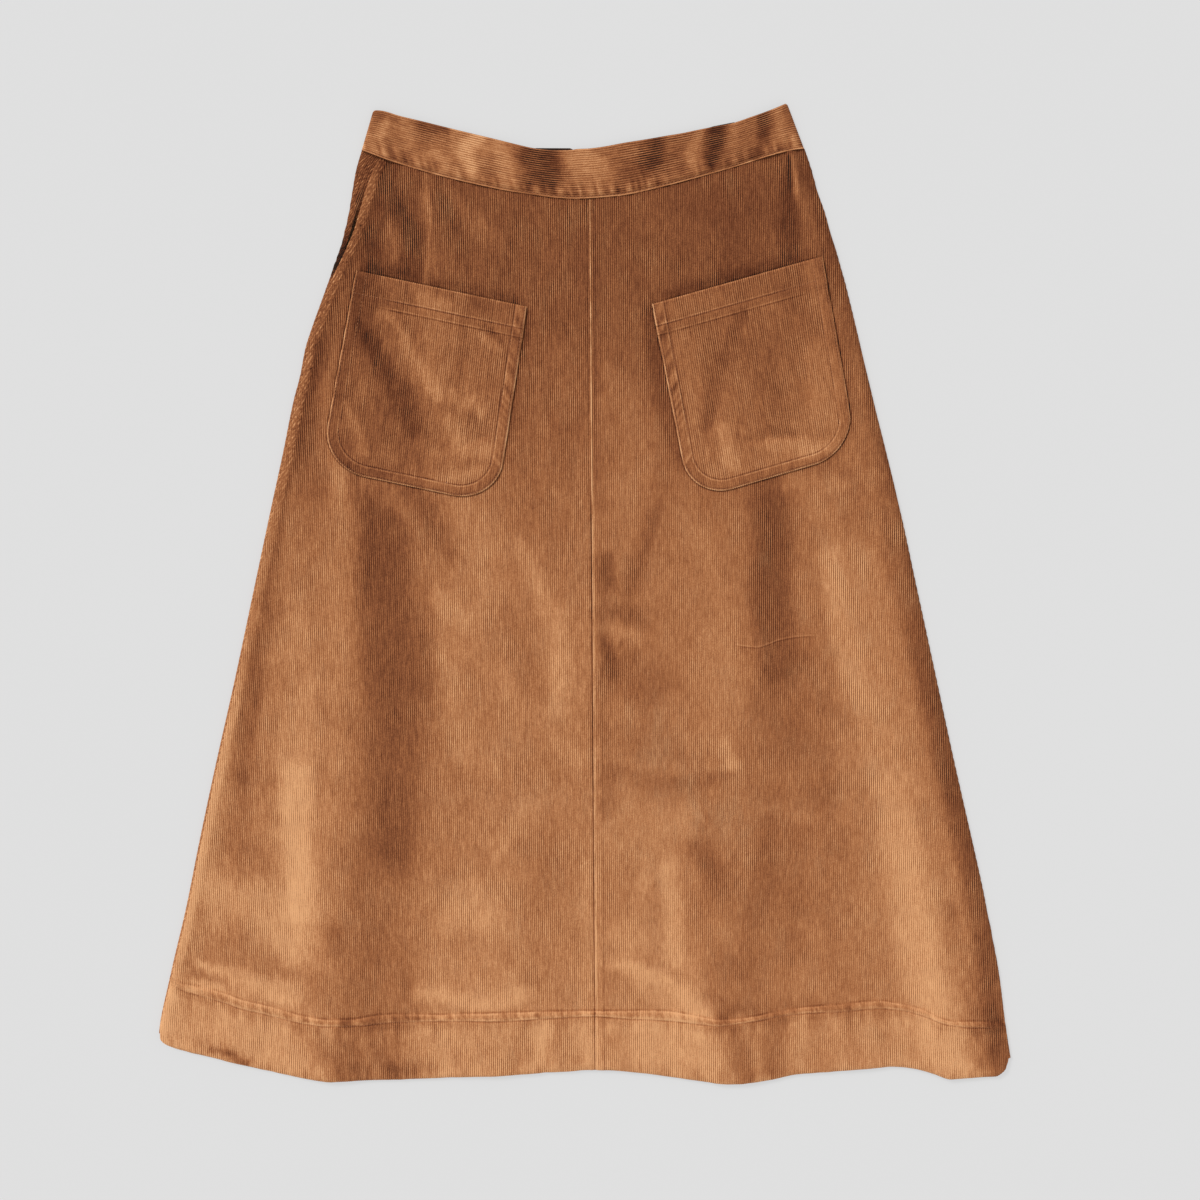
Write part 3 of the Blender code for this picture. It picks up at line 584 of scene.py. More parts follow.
    (0.08, (276, 926, 8), (290, 968, 9)), (-0.12, (327, 934, 9), (336, 954, 9)),
    (-0.10, (322, 1048, 8), (328, 1060, 8)), (-0.10, (384, 1010, 7), (426, 1022, 8)),
    (-0.09, (584, 1060, 7), (592, 1066, 7)), (-0.10, (760, 1064, 7), (764, 1076, 7)),
    (-0.10, (912, 1028, 8), (918, 1056, 8)), (0.09, (452, 926, 9), (484, 928, 9)),
    (0.10, (440, 976, 9), (448, 1000, 8)), (-0.09, (520, 984, 9), (532, 990, 9)),
    (0.09, (650, 926, 9), (658, 938, 9)), (0.10, (628, 1022, 8), (645, 1028, 8)),
    (0.10, (708, 1028, 7), (718, 1034, 7)), (-0.09, (708, 985, 9), (722, 995, 9)),
    (-0.09, (700, 900, 8), (708, 940, 9)), (-0.07, (800, 760, 30), (815, 860, 34)),
    (-0.06, (940, 745, 9), (954, 792, 9)), (0.30, (794, 158, 2.5), (797, 200, 3)),
    (-0.30, (788.5, 158, 1.6), (789.5, 196, 1.6)),
    (-0.20, (720, 965, 20), (752, 960, 26), (748, 1005, 20)),
    (-0.14, (715, 905, 16), (790, 905, 28), (800, 950, 18)), (-0.13, (700, 830, 10), (715, 870, 12)),
    (-0.12, (754, 690, 9), (758, 780, 18), (828, 792, 16), (832, 850, 10)),
    (-0.08, (812, 525, 14), (818, 620, 14), (820, 700, 14)), (-0.25, (978, 1012, 13), (998, 1048, 14)),
    (-0.10, (900, 1005, 20), (940, 1015, 20)), (0.12, (868, 560, 14), (876, 680, 16), (892, 740, 10)),
    (0.12, (952, 920, 10), (962, 985, 12)), (-0.10, (560, 430, 14), (562, 470, 14)),
    (-0.08, (650, 450, 14), (668, 490, 16)), (0.12, (600, 405, 8), (603, 430, 10)),
    (0.12, (384, 490, 12), (398, 508, 9)),
    # the turned-up hem
    (0.26, (541, 1036, 8), (541, 1068, 9)), (0.12, (448, 1036, 7), (446, 1068, 7)),
    (0.20, (589, 1036, 8), (590, 1068, 9)), (-0.12, (516, 1036, 7), (516, 1068, 7)),
    (-0.12, (563, 1036, 8), (563, 1068, 8)), (0.22, (648, 1050, 22), (706, 1058, 18)),
    (-0.38, (722, 1016, 10), (738, 1040, 14), (744, 1076, 14)), (-0.30, (774, 1022, 13), (776, 1064, 14)),
    (-0.10, (812, 1024, 8), (812, 1064, 8)), (-0.12, (850, 1020, 9), (850, 1060, 9)),
    (-0.08, (882, 1022, 8), (882, 1062, 8)), (0.10, (902, 1020, 14), (962, 1064, 18)),
    (-0.22, (950, 905, 9), (960, 965, 12), (985, 1010, 14), (990, 1070, 14)),
    # above and beside the pockets
    (-0.20, (384, 164, 12), (388, 204, 12)), (0.18, (373, 162, 5), (366, 192, 6), (357, 216, 5)),
    (-0.22, (397, 205, 8), (410, 235, 10), (408, 268, 12)), (0.16, (388, 222, 4), (396, 256, 7)),
    (-0.24, (373, 228, 9), (366, 275, 10)), (0.12, (424, 194, 6), (431, 264, 10)),
    (-0.12, (443, 198, 6), (458, 235, 8), (466, 264, 8)),
    (0.16, (452, 190, 5), (474, 222, 8), (498, 240, 8)),
    (-0.22, (791, 164, 6), (789, 210, 8), (790, 256, 8)), (0.20, (796, 160, 4), (797, 206, 4)),
    (0.16, (806, 200, 6), (812, 290, 9)), (-0.10, (720, 220, 26), (766, 218, 28)),
    (0.25, (429, 180, 2), (427, 240, 2.5), (424, 285, 2)),
    (0.10, (796, 160, 3), (798, 190, 3), (803, 230, 4)),
    (0.14, (604, 372, 9), (622, 400, 18), (640, 450, 20), (622, 484, 20)),
    (0.08, (556, 350, 14), (572, 400, 14)),
    (-0.18, (648, 305, 7), (656, 360, 9), (668, 420, 9), (682, 462, 8)),
    (-0.16, (527, 305, 6), (517, 370, 7), (506, 440, 7)),
    (0.18, (333, 340, 6), (329, 400, 7), (326, 440, 8), (340, 486, 9)),
    (-0.20, (322, 338, 7), (312, 400, 9), (304, 452, 9)), (0.18, (782, 488, 7), (838, 486, 8)),
)
CREASE_MARKS = marks(  # a fine crease across the right-hand half, drawn as a painted highlight with painted shade beside it
    (731, 645), (745, 646.5), (757, 647.5), (768, 644.5), (780, 640), (800, 636.5), (822, 635.5),
)
CREASE = [Point(*on_cloth(*mark)) for mark in CREASE_MARKS]
crease_line = smooth(CREASE)
FLAT_PILE = drawn(  # where the pile is brushed so flat that its ribs hardly show; less than 0, upright
    (-0.8, (650, 730, 30), (730, 830, 40)), (-0.7, (900, 520, 14), (915, 600, 14)),
    (-0.5, (846, 560, 20), (860, 680, 24), (876, 800, 26)), (0.3, (700, 540, 50), (700, 660, 50)),
    (0.65, (690, 215, 38), (770, 225, 38)),
    (0.5, (384, 500, 26), (386, 620, 32), (393, 720, 34), (392, 860, 34)),
    (0.4, (400, 270, 16), (440, 262, 16)), (0.3, (850, 960, 30), (850, 990, 30)),
)
HEM_PUCKER_SHADE = drawn(  # painted shade in the pulls along the hem's edge
    (1.0, (352, 1068, 8), (400, 1068, 9), (440, 1066, 8)), (0.7, (546, 1063, 7), (600, 1060, 7)),
    (0.5, (200, 1040, 7), (226, 1047, 7)), (0.5, (640, 1066, 6), (690, 1072, 6)),
)
# soft strokes read off the picture: the pockets' pile, with the painted light and shade of their creases
# and pulls
POCKET_PILE_AND_SHADE = drawn(
    # left
    (-0.40, (360, 330, 8), (380, 362, 10), (403, 398, 12), (414, 432, 10)),
    (-0.18, (357, 284, 7), (359, 322, 8)),
    (-0.16, (350, 350, 14), (346, 390, 12), (372, 440, 14), (396, 460, 12)),
    (-0.14, (372, 280, 10), (376, 312, 10)), (-0.10, (372, 345, 16), (386, 430, 16)),
    (-0.16, (348, 440, 10), (372, 464, 10), (416, 470, 12)),
    (0.12, (438, 316, 12), (444, 390, 13), (452, 402, 13)), (-0.14, (474, 300, 10), (488, 306, 9)),
    (0.12, (476, 408, 7), (484, 412, 7)),
    (0.26, (384, 317, 5), (404, 330, 6), (418, 366, 8), (437, 404, 8)),
    (0.28, (422, 297, 8), (444, 303, 8)), (0.22, (480, 341, 5), (492, 349, 5)),
    (-0.25, (482, 331, 3), (500, 339, 3)), (-0.12, (458, 358, 6), (456, 392, 7)),
    (0.16, (465, 374, 6), (469, 404, 7)), (0.24, (450, 424, 6), (462, 444, 9), (488, 450, 8)),
    (-0.14, (470, 419, 4), (487, 429, 5)), (0.16, (438, 480, 6), (476, 470, 6)),
    (0.28, (346, 404, 4), (355, 432, 5), (362, 454, 5)),
    # right
    (0.12, (670, 308, 7), (690, 380, 8), (695, 422, 6)), (0.12, (690, 306, 12), (710, 300, 12)),
    (0.14, (812, 262, 8), (826, 320, 9), (840, 390, 9), (842, 440, 9), (820, 458, 9)),
    (-0.20, (740, 317, 8), (720, 350, 11), (712, 395, 8), (706, 425, 5)),
    (-0.12, (760, 350, 20), (772, 408, 22)), (0.26, (721, 428, 8), (731, 466, 10)),
    (0.18, (814, 350, 11), (827, 424, 11)), (0.24, (764, 446, 5), (802, 447, 9)),
    (-0.10, (738, 434, 3), (792, 433, 3)), (0.10, (756, 290, 6), (768, 306, 7)),
    (0.10, (856, 385, 5), (850, 430, 6), (828, 455, 7), (786, 464, 6)),
    (-0.12, (344, 400, 9), (344, 470, 9)), (-0.12, (376, 396, 8), (386, 430, 9)),
    (-0.11, (404, 448, 9), (440, 440, 9)), (0.13, (464, 412, 7), (478, 418, 6)),
    (-0.10, (378, 300, 10), (392, 316, 8)), (-0.08, (396, 362, 9), (410, 366, 9)),
    (-0.08, (482, 310, 8), (494, 318, 8)), (-0.08, (760, 438, 8), (786, 436, 8)),
    (0.08, (762, 340, 14), (780, 372, 14)), (-0.08, (822, 325, 9), (832, 350, 9)),
    (-0.14, (345, 468, 9), (376, 470, 9)), (-0.15, (362, 280, 10), (364, 315, 13), (372, 334, 12)),
    (0.08, (446, 494, 5), (496, 490, 6)), (0.08, (428, 312, 14), (436, 340, 12)),
    (-0.15, (405, 438, 10), (418, 464, 9)), (0.10, (466, 411, 6), (477, 417, 6)),
    (0.08, (430, 398, 6), (452, 404, 6)), (0.10, (812, 458, 7), (838, 448, 7)),
    (-0.13, (329, 440, 4), (340, 466, 5), (366, 481, 5), (440, 495, 5), (490, 494, 4)),
)
# soft strokes read off the picture: the waistband's pile, with the painted light and shade of its twists
# and creases
BAND_PILE_AND_SHADE = drawn(
    (0.30, (363, 126, 7), (357, 147, 8)), (0.30, (387, 121, 4), (380, 136, 5)),
    (-0.20, (372, 114, 4), (396, 121, 4)), (0.12, (404, 122, 6), (408, 142, 7)),
    (-0.16, (420, 124, 5), (446, 131, 5)), (-0.08, (424, 136, 7), (444, 146, 7)),
    (0.54, (478, 137, 8), (464, 152, 9), (472, 168, 6)), (-0.14, (488, 158, 4), (492, 176, 4)),
    (0.32, (498, 145, 7), (506, 165, 9), (508, 184, 7)),
    (-0.36, (526, 156, 10), (546, 156, 13), (550, 178, 13), (530, 180, 9)),
    (0.16, (576, 160, 10), (596, 166, 14), (600, 184, 8)), (-0.22, (628, 172, 8), (646, 162, 9)),
    (-0.28, (655, 142, 7), (657, 160, 7)), (0.30, (699, 134, 4), (690, 152, 6), (694, 172, 6)),
    (-0.48, (716, 124, 9), (715, 146, 9), (712, 162, 6)), (0.24, (736, 124, 6), (733, 142, 5)),
    (0.20, (747, 146, 3), (749, 162, 3)), (-0.26, (762, 114, 6), (764, 142, 6)),
    (0.26, (774, 108, 6), (782, 134, 9), (796, 140, 6)), (-0.24, (756, 150, 3), (757, 162, 3)),
    (0.10, (362, 150, 6), (366, 180, 6)), (0.12, (455, 128, 6), (462, 142, 6)),
    (0.14, (430, 165, 6), (446, 172, 6)), (0.10, (486, 145, 5), (488, 166, 5)),
    (-0.10, (398, 140, 7), (404, 148, 6)), (-0.13, (592, 180, 6), (598, 188, 6)),
    (0.14, (610, 168, 5), (613, 178, 5)), (-0.12, (626, 182, 6), (640, 178, 6)),
    (-0.09, (664, 176, 6), (720, 172, 6), (784, 162, 6)), (0.14, (796, 148, 5), (803, 156, 5)),
    (0.10, (646, 150, 6), (654, 162, 6)), (0.10, (452, 126, 5), (460, 140, 5)),
    (0.08, (524, 152, 7), (556, 176, 8)), (0.07, (482, 146, 5), (484, 160, 5)),
    (-0.09, (512, 176, 6), (516, 184, 5)), (-0.08, (590, 182, 5), (596, 188, 5)),
    (0.09, (704, 126, 5), (706, 146, 5)), (-0.09, (738, 122, 5), (734, 140, 5)),
    (-0.09, (786, 112, 5), (790, 132, 5)), (-0.14, (728, 178, 6), (784, 168, 6)),
    (0.09, (366, 168, 5), (440, 176, 5)), (0.08, (754, 146, 4), (758, 156, 4)),
    (0.10, (798, 146, 4), (804, 158, 4)), (0.10, (366, 158, 5), (370, 172, 4)),
)
BAND_PATCHES = drawn(  # with crisp edges
    (-0.24, (541, 150, 19), (545, 176, 15)), (0.20, (578, 160, 14), (590, 172, 17)),
    (-0.12, (655, 172, 8), (690, 166, 8)), (0.14, (428, 162, 6), (455, 170, 6)),
    (-0.22, (654, 138, 12), (649, 174, 11)), (-0.22, (432, 124, 15), (440, 130, 12)),
    (0.12, (396, 124, 12), (402, 138, 12)), (-0.16, (716, 132, 12), (713, 152, 12)),
    (-0.20, (764, 118, 9), (766, 132, 8)), (0.16, (448, 140, 10), (440, 158, 12)),
)
BAND_CREASES = drawn(
    (-0.6, (393, 143, 2.5), (392, 158, 2.5)), (0.9, (700, 146, 2.2), (706, 166, 2.2)),
    (-0.6, (706, 146, 3.5), (714, 166, 3.5)), (0.7, (562, 150, 4.5), (576, 182, 4.5)),
    (-0.6, (552, 150, 6), (566, 184, 6)), (-0.7, (787, 139, 2.2), (789, 157, 2.2)),
    (0.5, (664, 142, 3), (660, 166, 3)), (0.4, (448, 128, 8), (452, 146, 8)),
    (0.5, (516, 146, 6), (518, 180, 6)),
)


# ---------------------------------------------------------------- shells
def normals(grid, side):
    along_u, along_v = np.gradient(grid, axis=0), np.gradient(grid, axis=1)
    turned = np.cross(along_u, along_v) * side
    return turned / np.maximum(np.linalg.norm(turned, axis=2, keepdims=True), 1e-9)


def ring(across, down):
    """(i, j) round the rim of a grid, anticlockwise."""
    path = [(i, 0) for i in range(across - 1)]
    path += [(across - 1, j) for j in range(down - 1)]
    path += [(i, down - 1) for i in range(across - 1, 0, -1)]
    path += [(0, j) for j in range(down - 1, 0, -1)]
    return path


def lining_faces(across, down, steps_i, steps_j, number):
    """The plain inside: every point of the rim, but only some lines between."""
    faces = []
    for i0, i1 in zip(steps_i, steps_i[1:]):
        for j0, j1 in zip(steps_j, steps_j[1:]):
            low = range(i0, i1) if j0 == 0 else (i0,)
            right = range(j0, j1) if i1 == across - 1 else (j0,)
            top = range(i1, i0, -1) if j1 == down - 1 else (i1,)
            left = range(j1, j0, -1) if i0 == 0 else (j1,)
            corners = [(i, j0) for i in low] + [(i1, j) for j in right]
            corners += [(i, j1) for i in top] + [(i0, j) for j in left]
            inner = [
                k
                for k, (i, j) in enumerate(corners)
                if 0 < i < across - 1 and 0 < j < down - 1
            ]
            corners = corners[inner[0] :] + corners[: inner[0]]
            ids = [number[c] for c in corners]
            faces += [(ids[0], b, a) for a, b in zip(ids[1:], ids[2:])]
    return faces


FAR = 20.0  # a distance beyond the reach of any drawn line
USUAL = {
    "pile_light_and_shade": 0.0, "crush": 0.0, "rim": FAR, "side": FAR, "ticked": 1.0, "firm": 1.0,
    "mouth": -FAR, "turned": 0.0, "crease": FAR, "creased": 0.0,
}


def shell(name, grid, side, rib, wall, cloth_uv, pile, material, steps_i, steps_j):
    """A closed shell: grid is (across, down, 3) in garment millimetres at the ribs' crests, and
    rib the height of each rib's lines, in a column or a row.
    side is 1 where going across, then down the grid's second axis, turns anticlockwise outside.
    pile: first the tone, how light the cloth is painted from its pile and from painted light and
    shade; crush, how flat its ribs are; rim and side, how far in millimetres from a pocket's edge and
    from the inner edge of the left-hand seam's strip; firm, how strongly the painted light and shade
    beside a pocket's edge show; mouth, how far below a pocket's mouth, and turned, how strongly the
    painted lines by it show; crease, the distance from a fine crease, and creased, how strongly its
    painted highlight and shade show; ticked, how strongly the strip's slanted ticks show."""
    across, down = grid.shape[:2]
    turned = normals(grid, side)
    outer = grid - turned * ((1 - rib) * RIB_DEPTH)[..., None]
    inner = grid - turned * wall
    rim = ring(across, down)
    number = {c: across * down + k for k, c in enumerate(rim)}
    for i in steps_i[1:-1]:
        for j in steps_j[1:-1]:
            number[(i, j)] = across * down + len(number)
    picked = np.array(list(number))
    points = np.concatenate([outer.reshape(-1, 3), inner[picked[:, 0], picked[:, 1]]])
    index = np.arange(across * down).reshape(across, down)
    quads = np.stack([index[:-1, :-1], index[1:, :-1], index[1:, 1:], index[:-1, 1:]], axis=-1)
    faces = quads.reshape(-1, 4).tolist()
    faces += lining_faces(across, down, steps_i, steps_j, number)
    for a, b in zip(rim, rim[1:] + rim[:1]):
        faces.append((index[b], index[a], number[a], number[b]))
    if side < 0:
        faces = [f[::-1] for f in faces]
    flat = [np.concatenate([v.reshape(-1), v[picked[:, 0], picked[:, 1]]]) for v in cloth_uv]
    layers = {}
    for key, usual in USUAL.items():
        values = np.broadcast_to(pile.get(key, usual), (across, down))
        plain = INSIDE_NAP if key == "pile_light_and_shade" else usual
        layers[key] = np.concatenate([values.reshape(-1), np.full(len(picked), plain)])
    return cloth_object(name, points, faces, np.stack(flat, axis=1) * MM, layers, material)


def cloth_object(name, points, faces, uv, layers, material):
    data = bpy.data.meshes.new(name)
    moved = (points + (SHIFT_X, SHIFT_Y, 0)) * MM
    data.from_pydata(moved.tolist(), [], faces)
    layer = data.uv_layers.new(name="cloth")
    corner = np.empty(len(data.loops), np.int32)
    data.loops.foreach_get("vertex_index", corner)
    layer.data.foreach_set("uv", uv[corner].astype(np.float32).ravel())
    for key, values in layers.items():
        data.attributes.new(key, "FLOAT", "POINT").data.foreach_set(
            "value", values.astype(np.float32)
        )
    data.shade_smooth()
    data.materials.append(material)
    made = bpy.data.objects.new(name, data)
    bpy.context.scene.collection.objects.link(made)
    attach(made, "root")
    return made


def rib_columns(first, last):
    """(cloth coordinate, rib height) of the lines along the ribs between two coordinates."""
    low, high = min(first, last), max(first, last)
    ribs = np.arange(math.floor(low / PITCH), math.ceil(high / PITCH) + 1)
    places = (ribs[:, None] + [share for share, _ in RIB]) * PITCH
    heights = np.broadcast_to([height for _, height in RIB], places.shape)
    places, heights = places.ravel(), heights.ravel()
    inside = (places > low + 0.15) & (places < high - 0.15)
    places = np.concatenate([[low], places[inside], [high]])
    return places, np.concatenate([[0.6], heights[inside], [0.6]])


HEM_ROWS = (0, 0.7, 2.2, 5, 9, 14, 20)
STITCH_ROWS = (-9, -5.5, -3, -1.4, -0.7, 0, 0.7, 1.4)
RIDGE_ROWS = (-0.8, 0, 0.8, 2, 4, 8)
TOP_ROWS = (0, 0.8, 2, 3.5, 5.5, 8, 11, 14.5, 18.5, 23, 28, 34, 40)
MIDDLE_ROWS, BACK_MIDDLE_ROWS = 94, 9
EDGE_INSET = 0.6  # from a piece's side edge to its first line of points
SHORTEST = 2.0  # the least length of a column
LOWER_LENGTH = 82.0  # of the rows about the hem; a column with no room for them has even rows
EVEN_REACH = 150.0  # how much longer a column is before its rows are quite uneven


def columns_of(x, low, high, further, middle_rows):
    """(across, up) of each column's points, close together where the cloth has most to show.
    further: how much further down than usual the rows near the top reach, in millimetres."""
    stitches, ridge = hem_stitches(x), hem_ridge(x)
    length = np.maximum(high - low, 1e-3)
    shrink = np.clip((length - LOWER_LENGTH) / 90, 0.05, 1)
    parts = [low + r for r in HEM_ROWS]
    parts += [low + 20 + (stitches - 9 - low - 20) * s for s in (0.25, 0.5, 0.75)]
    parts += [stitches + r for r in STITCH_ROWS]
    gap = ridge - 0.8 - stitches - 1.4
    parts += [stitches + 1.4 + gap * s for s in (0.33, 0.67)]
    parts += [ridge + r for r in RIDGE_ROWS]
    lower = np.array(parts)
    scale = (TOP_ROWS[-1] + further) / TOP_ROWS[-1] * shrink
    upper = np.array([high - r * scale for r in reversed(TOP_ROWS)])
    share = (np.arange(middle_rows) + 1)[:, None] / (middle_rows + 1)
    middle = lower[-1] + (upper[0] - lower[-1]) * share
    rows = np.concatenate([lower, middle, upper])
    even = low + length * np.linspace(0, 1, len(rows))[:, None]
    plain = ease((LOWER_LENGTH + EVEN_REACH - length) / EVEN_REACH)
    rows = (rows * (1 - plain) + even * plain).T
    return np.broadcast_to(x[:, None], rows.shape), rows


def meet(curve, edge, rounds=30):
    """Height at which the line x = edge(y) crosses a curve y = curve(x)."""
    y = curve(edge(0.0))
    for _ in range(rounds):
        y = (y + curve(edge(y))) / 2
    return y


def quarter_roll(depth, half_height):
    """(arc length, share across, share down) tables of a quarter of an ellipse from its top."""
    angle = np.linspace(0, np.pi / 2, 200)
    x, z = depth * np.sin(angle), half_height * np.cos(angle)
    return run_length(x, z), np.sin(angle), np.cos(angle)


ROLL_WIDE = quarter_roll(RIGHT_FOLD_DEPTH, FOLD_HEIGHT / 2)
ROLL_NARROW = quarter_roll(FOLD_DEPTH, FOLD_HEIGHT / 2)
WIDE, NARROW = ROLL_WIDE[0][-1], ROLL_NARROW[0][-1]
SIDE_STEPS = np.linspace(-460.0, 420.0, 1761)


def roll_at(roll, arc):
    """(share across, share down) of a place this far round a roll from its top."""
    return np.interp(arc, roll[0], roll[1]), np.interp(arc, roll[0], roll[2])


def arc_at(inset):
    """How far round the narrow roll from its top a place lies, this far inside its edge."""
    share = 1 - np.minimum(inset, FOLD_DEPTH) / FOLD_DEPTH
    return np.interp(share, ROLL_NARROW[1], ROLL_NARROW[0])


def column_span(u, side_limit, top):
    """Top of each column: the waist seam, or where the piece's side passes its coordinate."""
    limit = side_limit(SIDE_STEPS)
    order = np.argsort(limit)
    return np.minimum(top(u), np.interp(u, limit[order], SIDE_STEPS[order]))


# ---------------------------------------------------------------- front
def right_place(u, v):
    """The right-hand half: flat, then rolled over its fold and under."""
    start = right_fold(v) - RIGHT_FOLD_DEPTH
    past = u - start
    height = fold_height(np.minimum(u, right_fold(v)), v)
    over_x, over_z = roll_at(ROLL_WIDE, np.clip(past, 0, WIDE))
    low_x, low_z = roll_at(ROLL_NARROW, NARROW - np.clip(past - WIDE, 0, NARROW))
    over_z, low_z = height / 2 * (1 + over_z), height / 2 * (1 - low_z)
    beyond = np.maximum(past - WIDE - NARROW, 0)
    x = np.minimum(u, start) + RIGHT_FOLD_DEPTH * over_x - FOLD_DEPTH * (1 - low_x) - beyond
    z = front_surface(np.minimum(x, right_fold(v)), v)
    z = np.where(past > 0, over_z + (z - over_z) * ease(1 - past / 10), z)
    z = np.where(past > WIDE, low_z, z)
    return np.stack([x, v + 0 * u, z], axis=-1)


def right_half(material):
    def limit(y):
        return right_fold(y) - RIGHT_FOLD_DEPTH + WIDE + NARROW + UNDER_TURN - FOLD_DEPTH

    def seam(u):
        return waist_seam(np.minimum(u, WAIST_RIGHT)) - SEWN / 2

    foot = meet(hem_edge, right_fold)
    u, rib = rib_columns(SEWN / 2, limit(foot) - EDGE_INSET)
    high = column_span(u, limit, seam)
    low = np.minimum(hem_edge(np.minimum(u, right_fold(foot))), high - SHORTEST)
    across, rows = columns_of(u, low, high, 35 * ease((u - WAIST_RIGHT) / 12), MIDDLE_ROWS)
    grid = right_place(across, rows)
    return front_shell("front_right_cloth", grid, across, rows, rib, material)


def left_place(u, v):
    """The left-hand half, whose outer edge bends down a little on to its seam."""
    start = left_fold(v) + FOLD_DEPTH
    past = np.clip(start - u, 0, NARROW)
    x = np.maximum(u, start) - FOLD_DEPTH * roll_at(ROLL_NARROW, past)[0]
    return np.stack([x, v + 0 * u, front_surface(x, v)], axis=-1)


def left_half(material):
    def limit(y):
        inset = seam_inset(y) + SEAM_GAP
        return -(left_fold(y) + np.maximum(inset, FOLD_DEPTH) - arc_at(inset))

    def seam(u):
        return waist_seam(-u) - SEWN / 2

    foot = meet(hem_edge, left_fold)
    u, rib = rib_columns(SEWN / 2, limit(foot) - EDGE_INSET)
    high = column_span(u, limit, seam)
    low = np.minimum(hem_edge(left_place(-u, foot)[:, 0]), high - SHORTEST)
    across, rows = columns_of(-u, low, high, 30 * ease((u - 178) / 14), MIDDLE_ROWS)
    grid = left_place(across, rows)[::-1]
    return front_shell("front_left_cloth", grid, across[::-1], rows[::-1], rib[::-1], material)


def front_pile_light_and_shade(x, y):
    """Tone of the body: brushed pile in soft strokes and worn ridges, with painted light and shade on its
    folds, seams, pocket edges and a fine crease.
    """
    pile_light_and_shade = LEVELS(y) + strokes(BODY_PILE_AND_SHADE, *wander(x, y))
    from_left = x - left_fold(y) - seam_inset(y)
    from_right = right_fold(y) - x
    side = from_left - SIDE_STRIP
    ticked = 0.12 + 0.88 * ease((y - 40) / 150)
    # the left-hand seam's strip: painted light on its rolled edge, painted shade just inside it
    pile_light_and_shade = pile_light_and_shade + 0.13 * ease(-side / 2) - 0.07 * bump(side - 3, 4)
    # painted light on the left-hand fold, which faces the light, lower down the skirt
    left_light = 0.10 * ease((150 - y) / 60) + 0.20 * ease((20 - y) / 150)
    pile_light_and_shade = pile_light_and_shade + left_light * ease(1 - from_left / 24)
    # painted shade where the right-hand fold rounds away from the light, most down its lower part
    lower = 0.3 + 0.7 * ease((250 - y) / 200)
    pile_light_and_shade = pile_light_and_shade - lower * (0.14 * ease(1 - from_right / 34) + 0.30 * ease(1 - from_right / 13))
    pile_light_and_shade = pile_light_and_shade - 0.20 * ease((60 - y) / 120) * bump(from_right - 12, 15) * (1 + 0.4 * ease((-60 - y) / 60))
    pile_light_and_shade = pile_light_and_shade + centre_seam_light_and_shade(x, y) + hem_light_and_shade(x, y)
    rim, mouth = np.full(np.shape(x), -FAR), np.full(np.shape(x), -FAR)
    firm, turned = np.ones(np.shape(x)), np.zeros(np.shape(x))
    for spec in POCKETS:
        across, down = pocket_axes(spec, x, y)
        margin = pocket_margin(across, down)
        rim = np.maximum(rim, np.minimum(margin, 10 * down))  # the mouth is open
        # painted shadow just outside each pocket's edge
        pile_light_and_shade = pile_light_and_shade - 0.03 * soft(margin + 3, 3.5) * ease((down + 1) / 3)
        # where the painted shade over each pocket's mouth falls, and how strongly
        beneath = ease(np.minimum(across, POCKET_WIDTH - across) / 14) * ease((40 - down) / 20)
        mouth = np.where(beneath > 0, down, mouth)
        turned = np.maximum(turned, beneath)
        # a darker painted shadow line past each pocket's outer edge
        firm = firm + spec.outer_shade * ease((across - POCKET_WIDTH + 20) / 10)
    seam = waist_seam(x) - y
    # painted shade under the waistband's lower edge
    pile_light_and_shade = pile_light_and_shade - 0.10 * soft(seam, 1.6)
    near_hem = bump(y - (hem_stitches(x) + hem_ridge(x)) / 2, 6.0)
    worn = bump(x - 3.5, 5.5) * (0.3 + 0.7 * ease((-250 - y) / 60))
    flat = strokes(FLAT_PILE, *wander(x, y))
    crush = np.clip(0.7 * near_hem + 0.5 * worn + 0.5 * bump(seam, 6) + flat, -1, 1)
    # where the fine crease's painted highlight and shade are drawn, and how strongly
    crease = y - np.where((x > CREASE[0].x) & (x < CREASE[-1].x), crease_line(x), FAR)
    creased = ease((x - CREASE[0].x) / 12) * ease((CREASE[-1].x - x) / 20)
    return {
        "pile_light_and_shade": pile_light_and_shade, "crush": crush, "rim": rim, "side": side, "ticked": ticked, "firm": firm,
        "mouth": mouth, "turned": turned, "crease": crease, "creased": creased,
    }


def centre_seam_light_and_shade(x, y):
    """The pressed centre seam: a painted highlight on its edge, and painted shade in the seam and on the
    allowance's edge.
    """
    low, lowest = ease((125 - y) / 25), ease((-y - 20) / 100)
    breaks = 0.68 + 0.34 * noise(x * 0, y, 1, 17, 91)
    bright = (1.05 - 0.10 * low) * breaks * bump(x + 0.9 - 0.75 * low, 1.2)
    dark = (0.14 + 0.42 * low) * bump(x + 2.9 - 1.2 * low, 1.2)
    dark = dark + 0.20 * (1 - low) * bump(x - 2.6, 2.2)
    ticks = 0.5 + 0.9 * noise(x * 0, y, 1, 3.2, 92)
    foot = 0.6 + 0.4 * ease((-330 - y) / 40)
    edge = 0.30 * lowest * foot * (0.5 + 0.5 * ticks) * bump(x - 6.9, 1.5)
    return bright - dark - edge + 0.10 * lowest * foot * (ticks + 0.4) * bump(x - 4.0, 3.0)


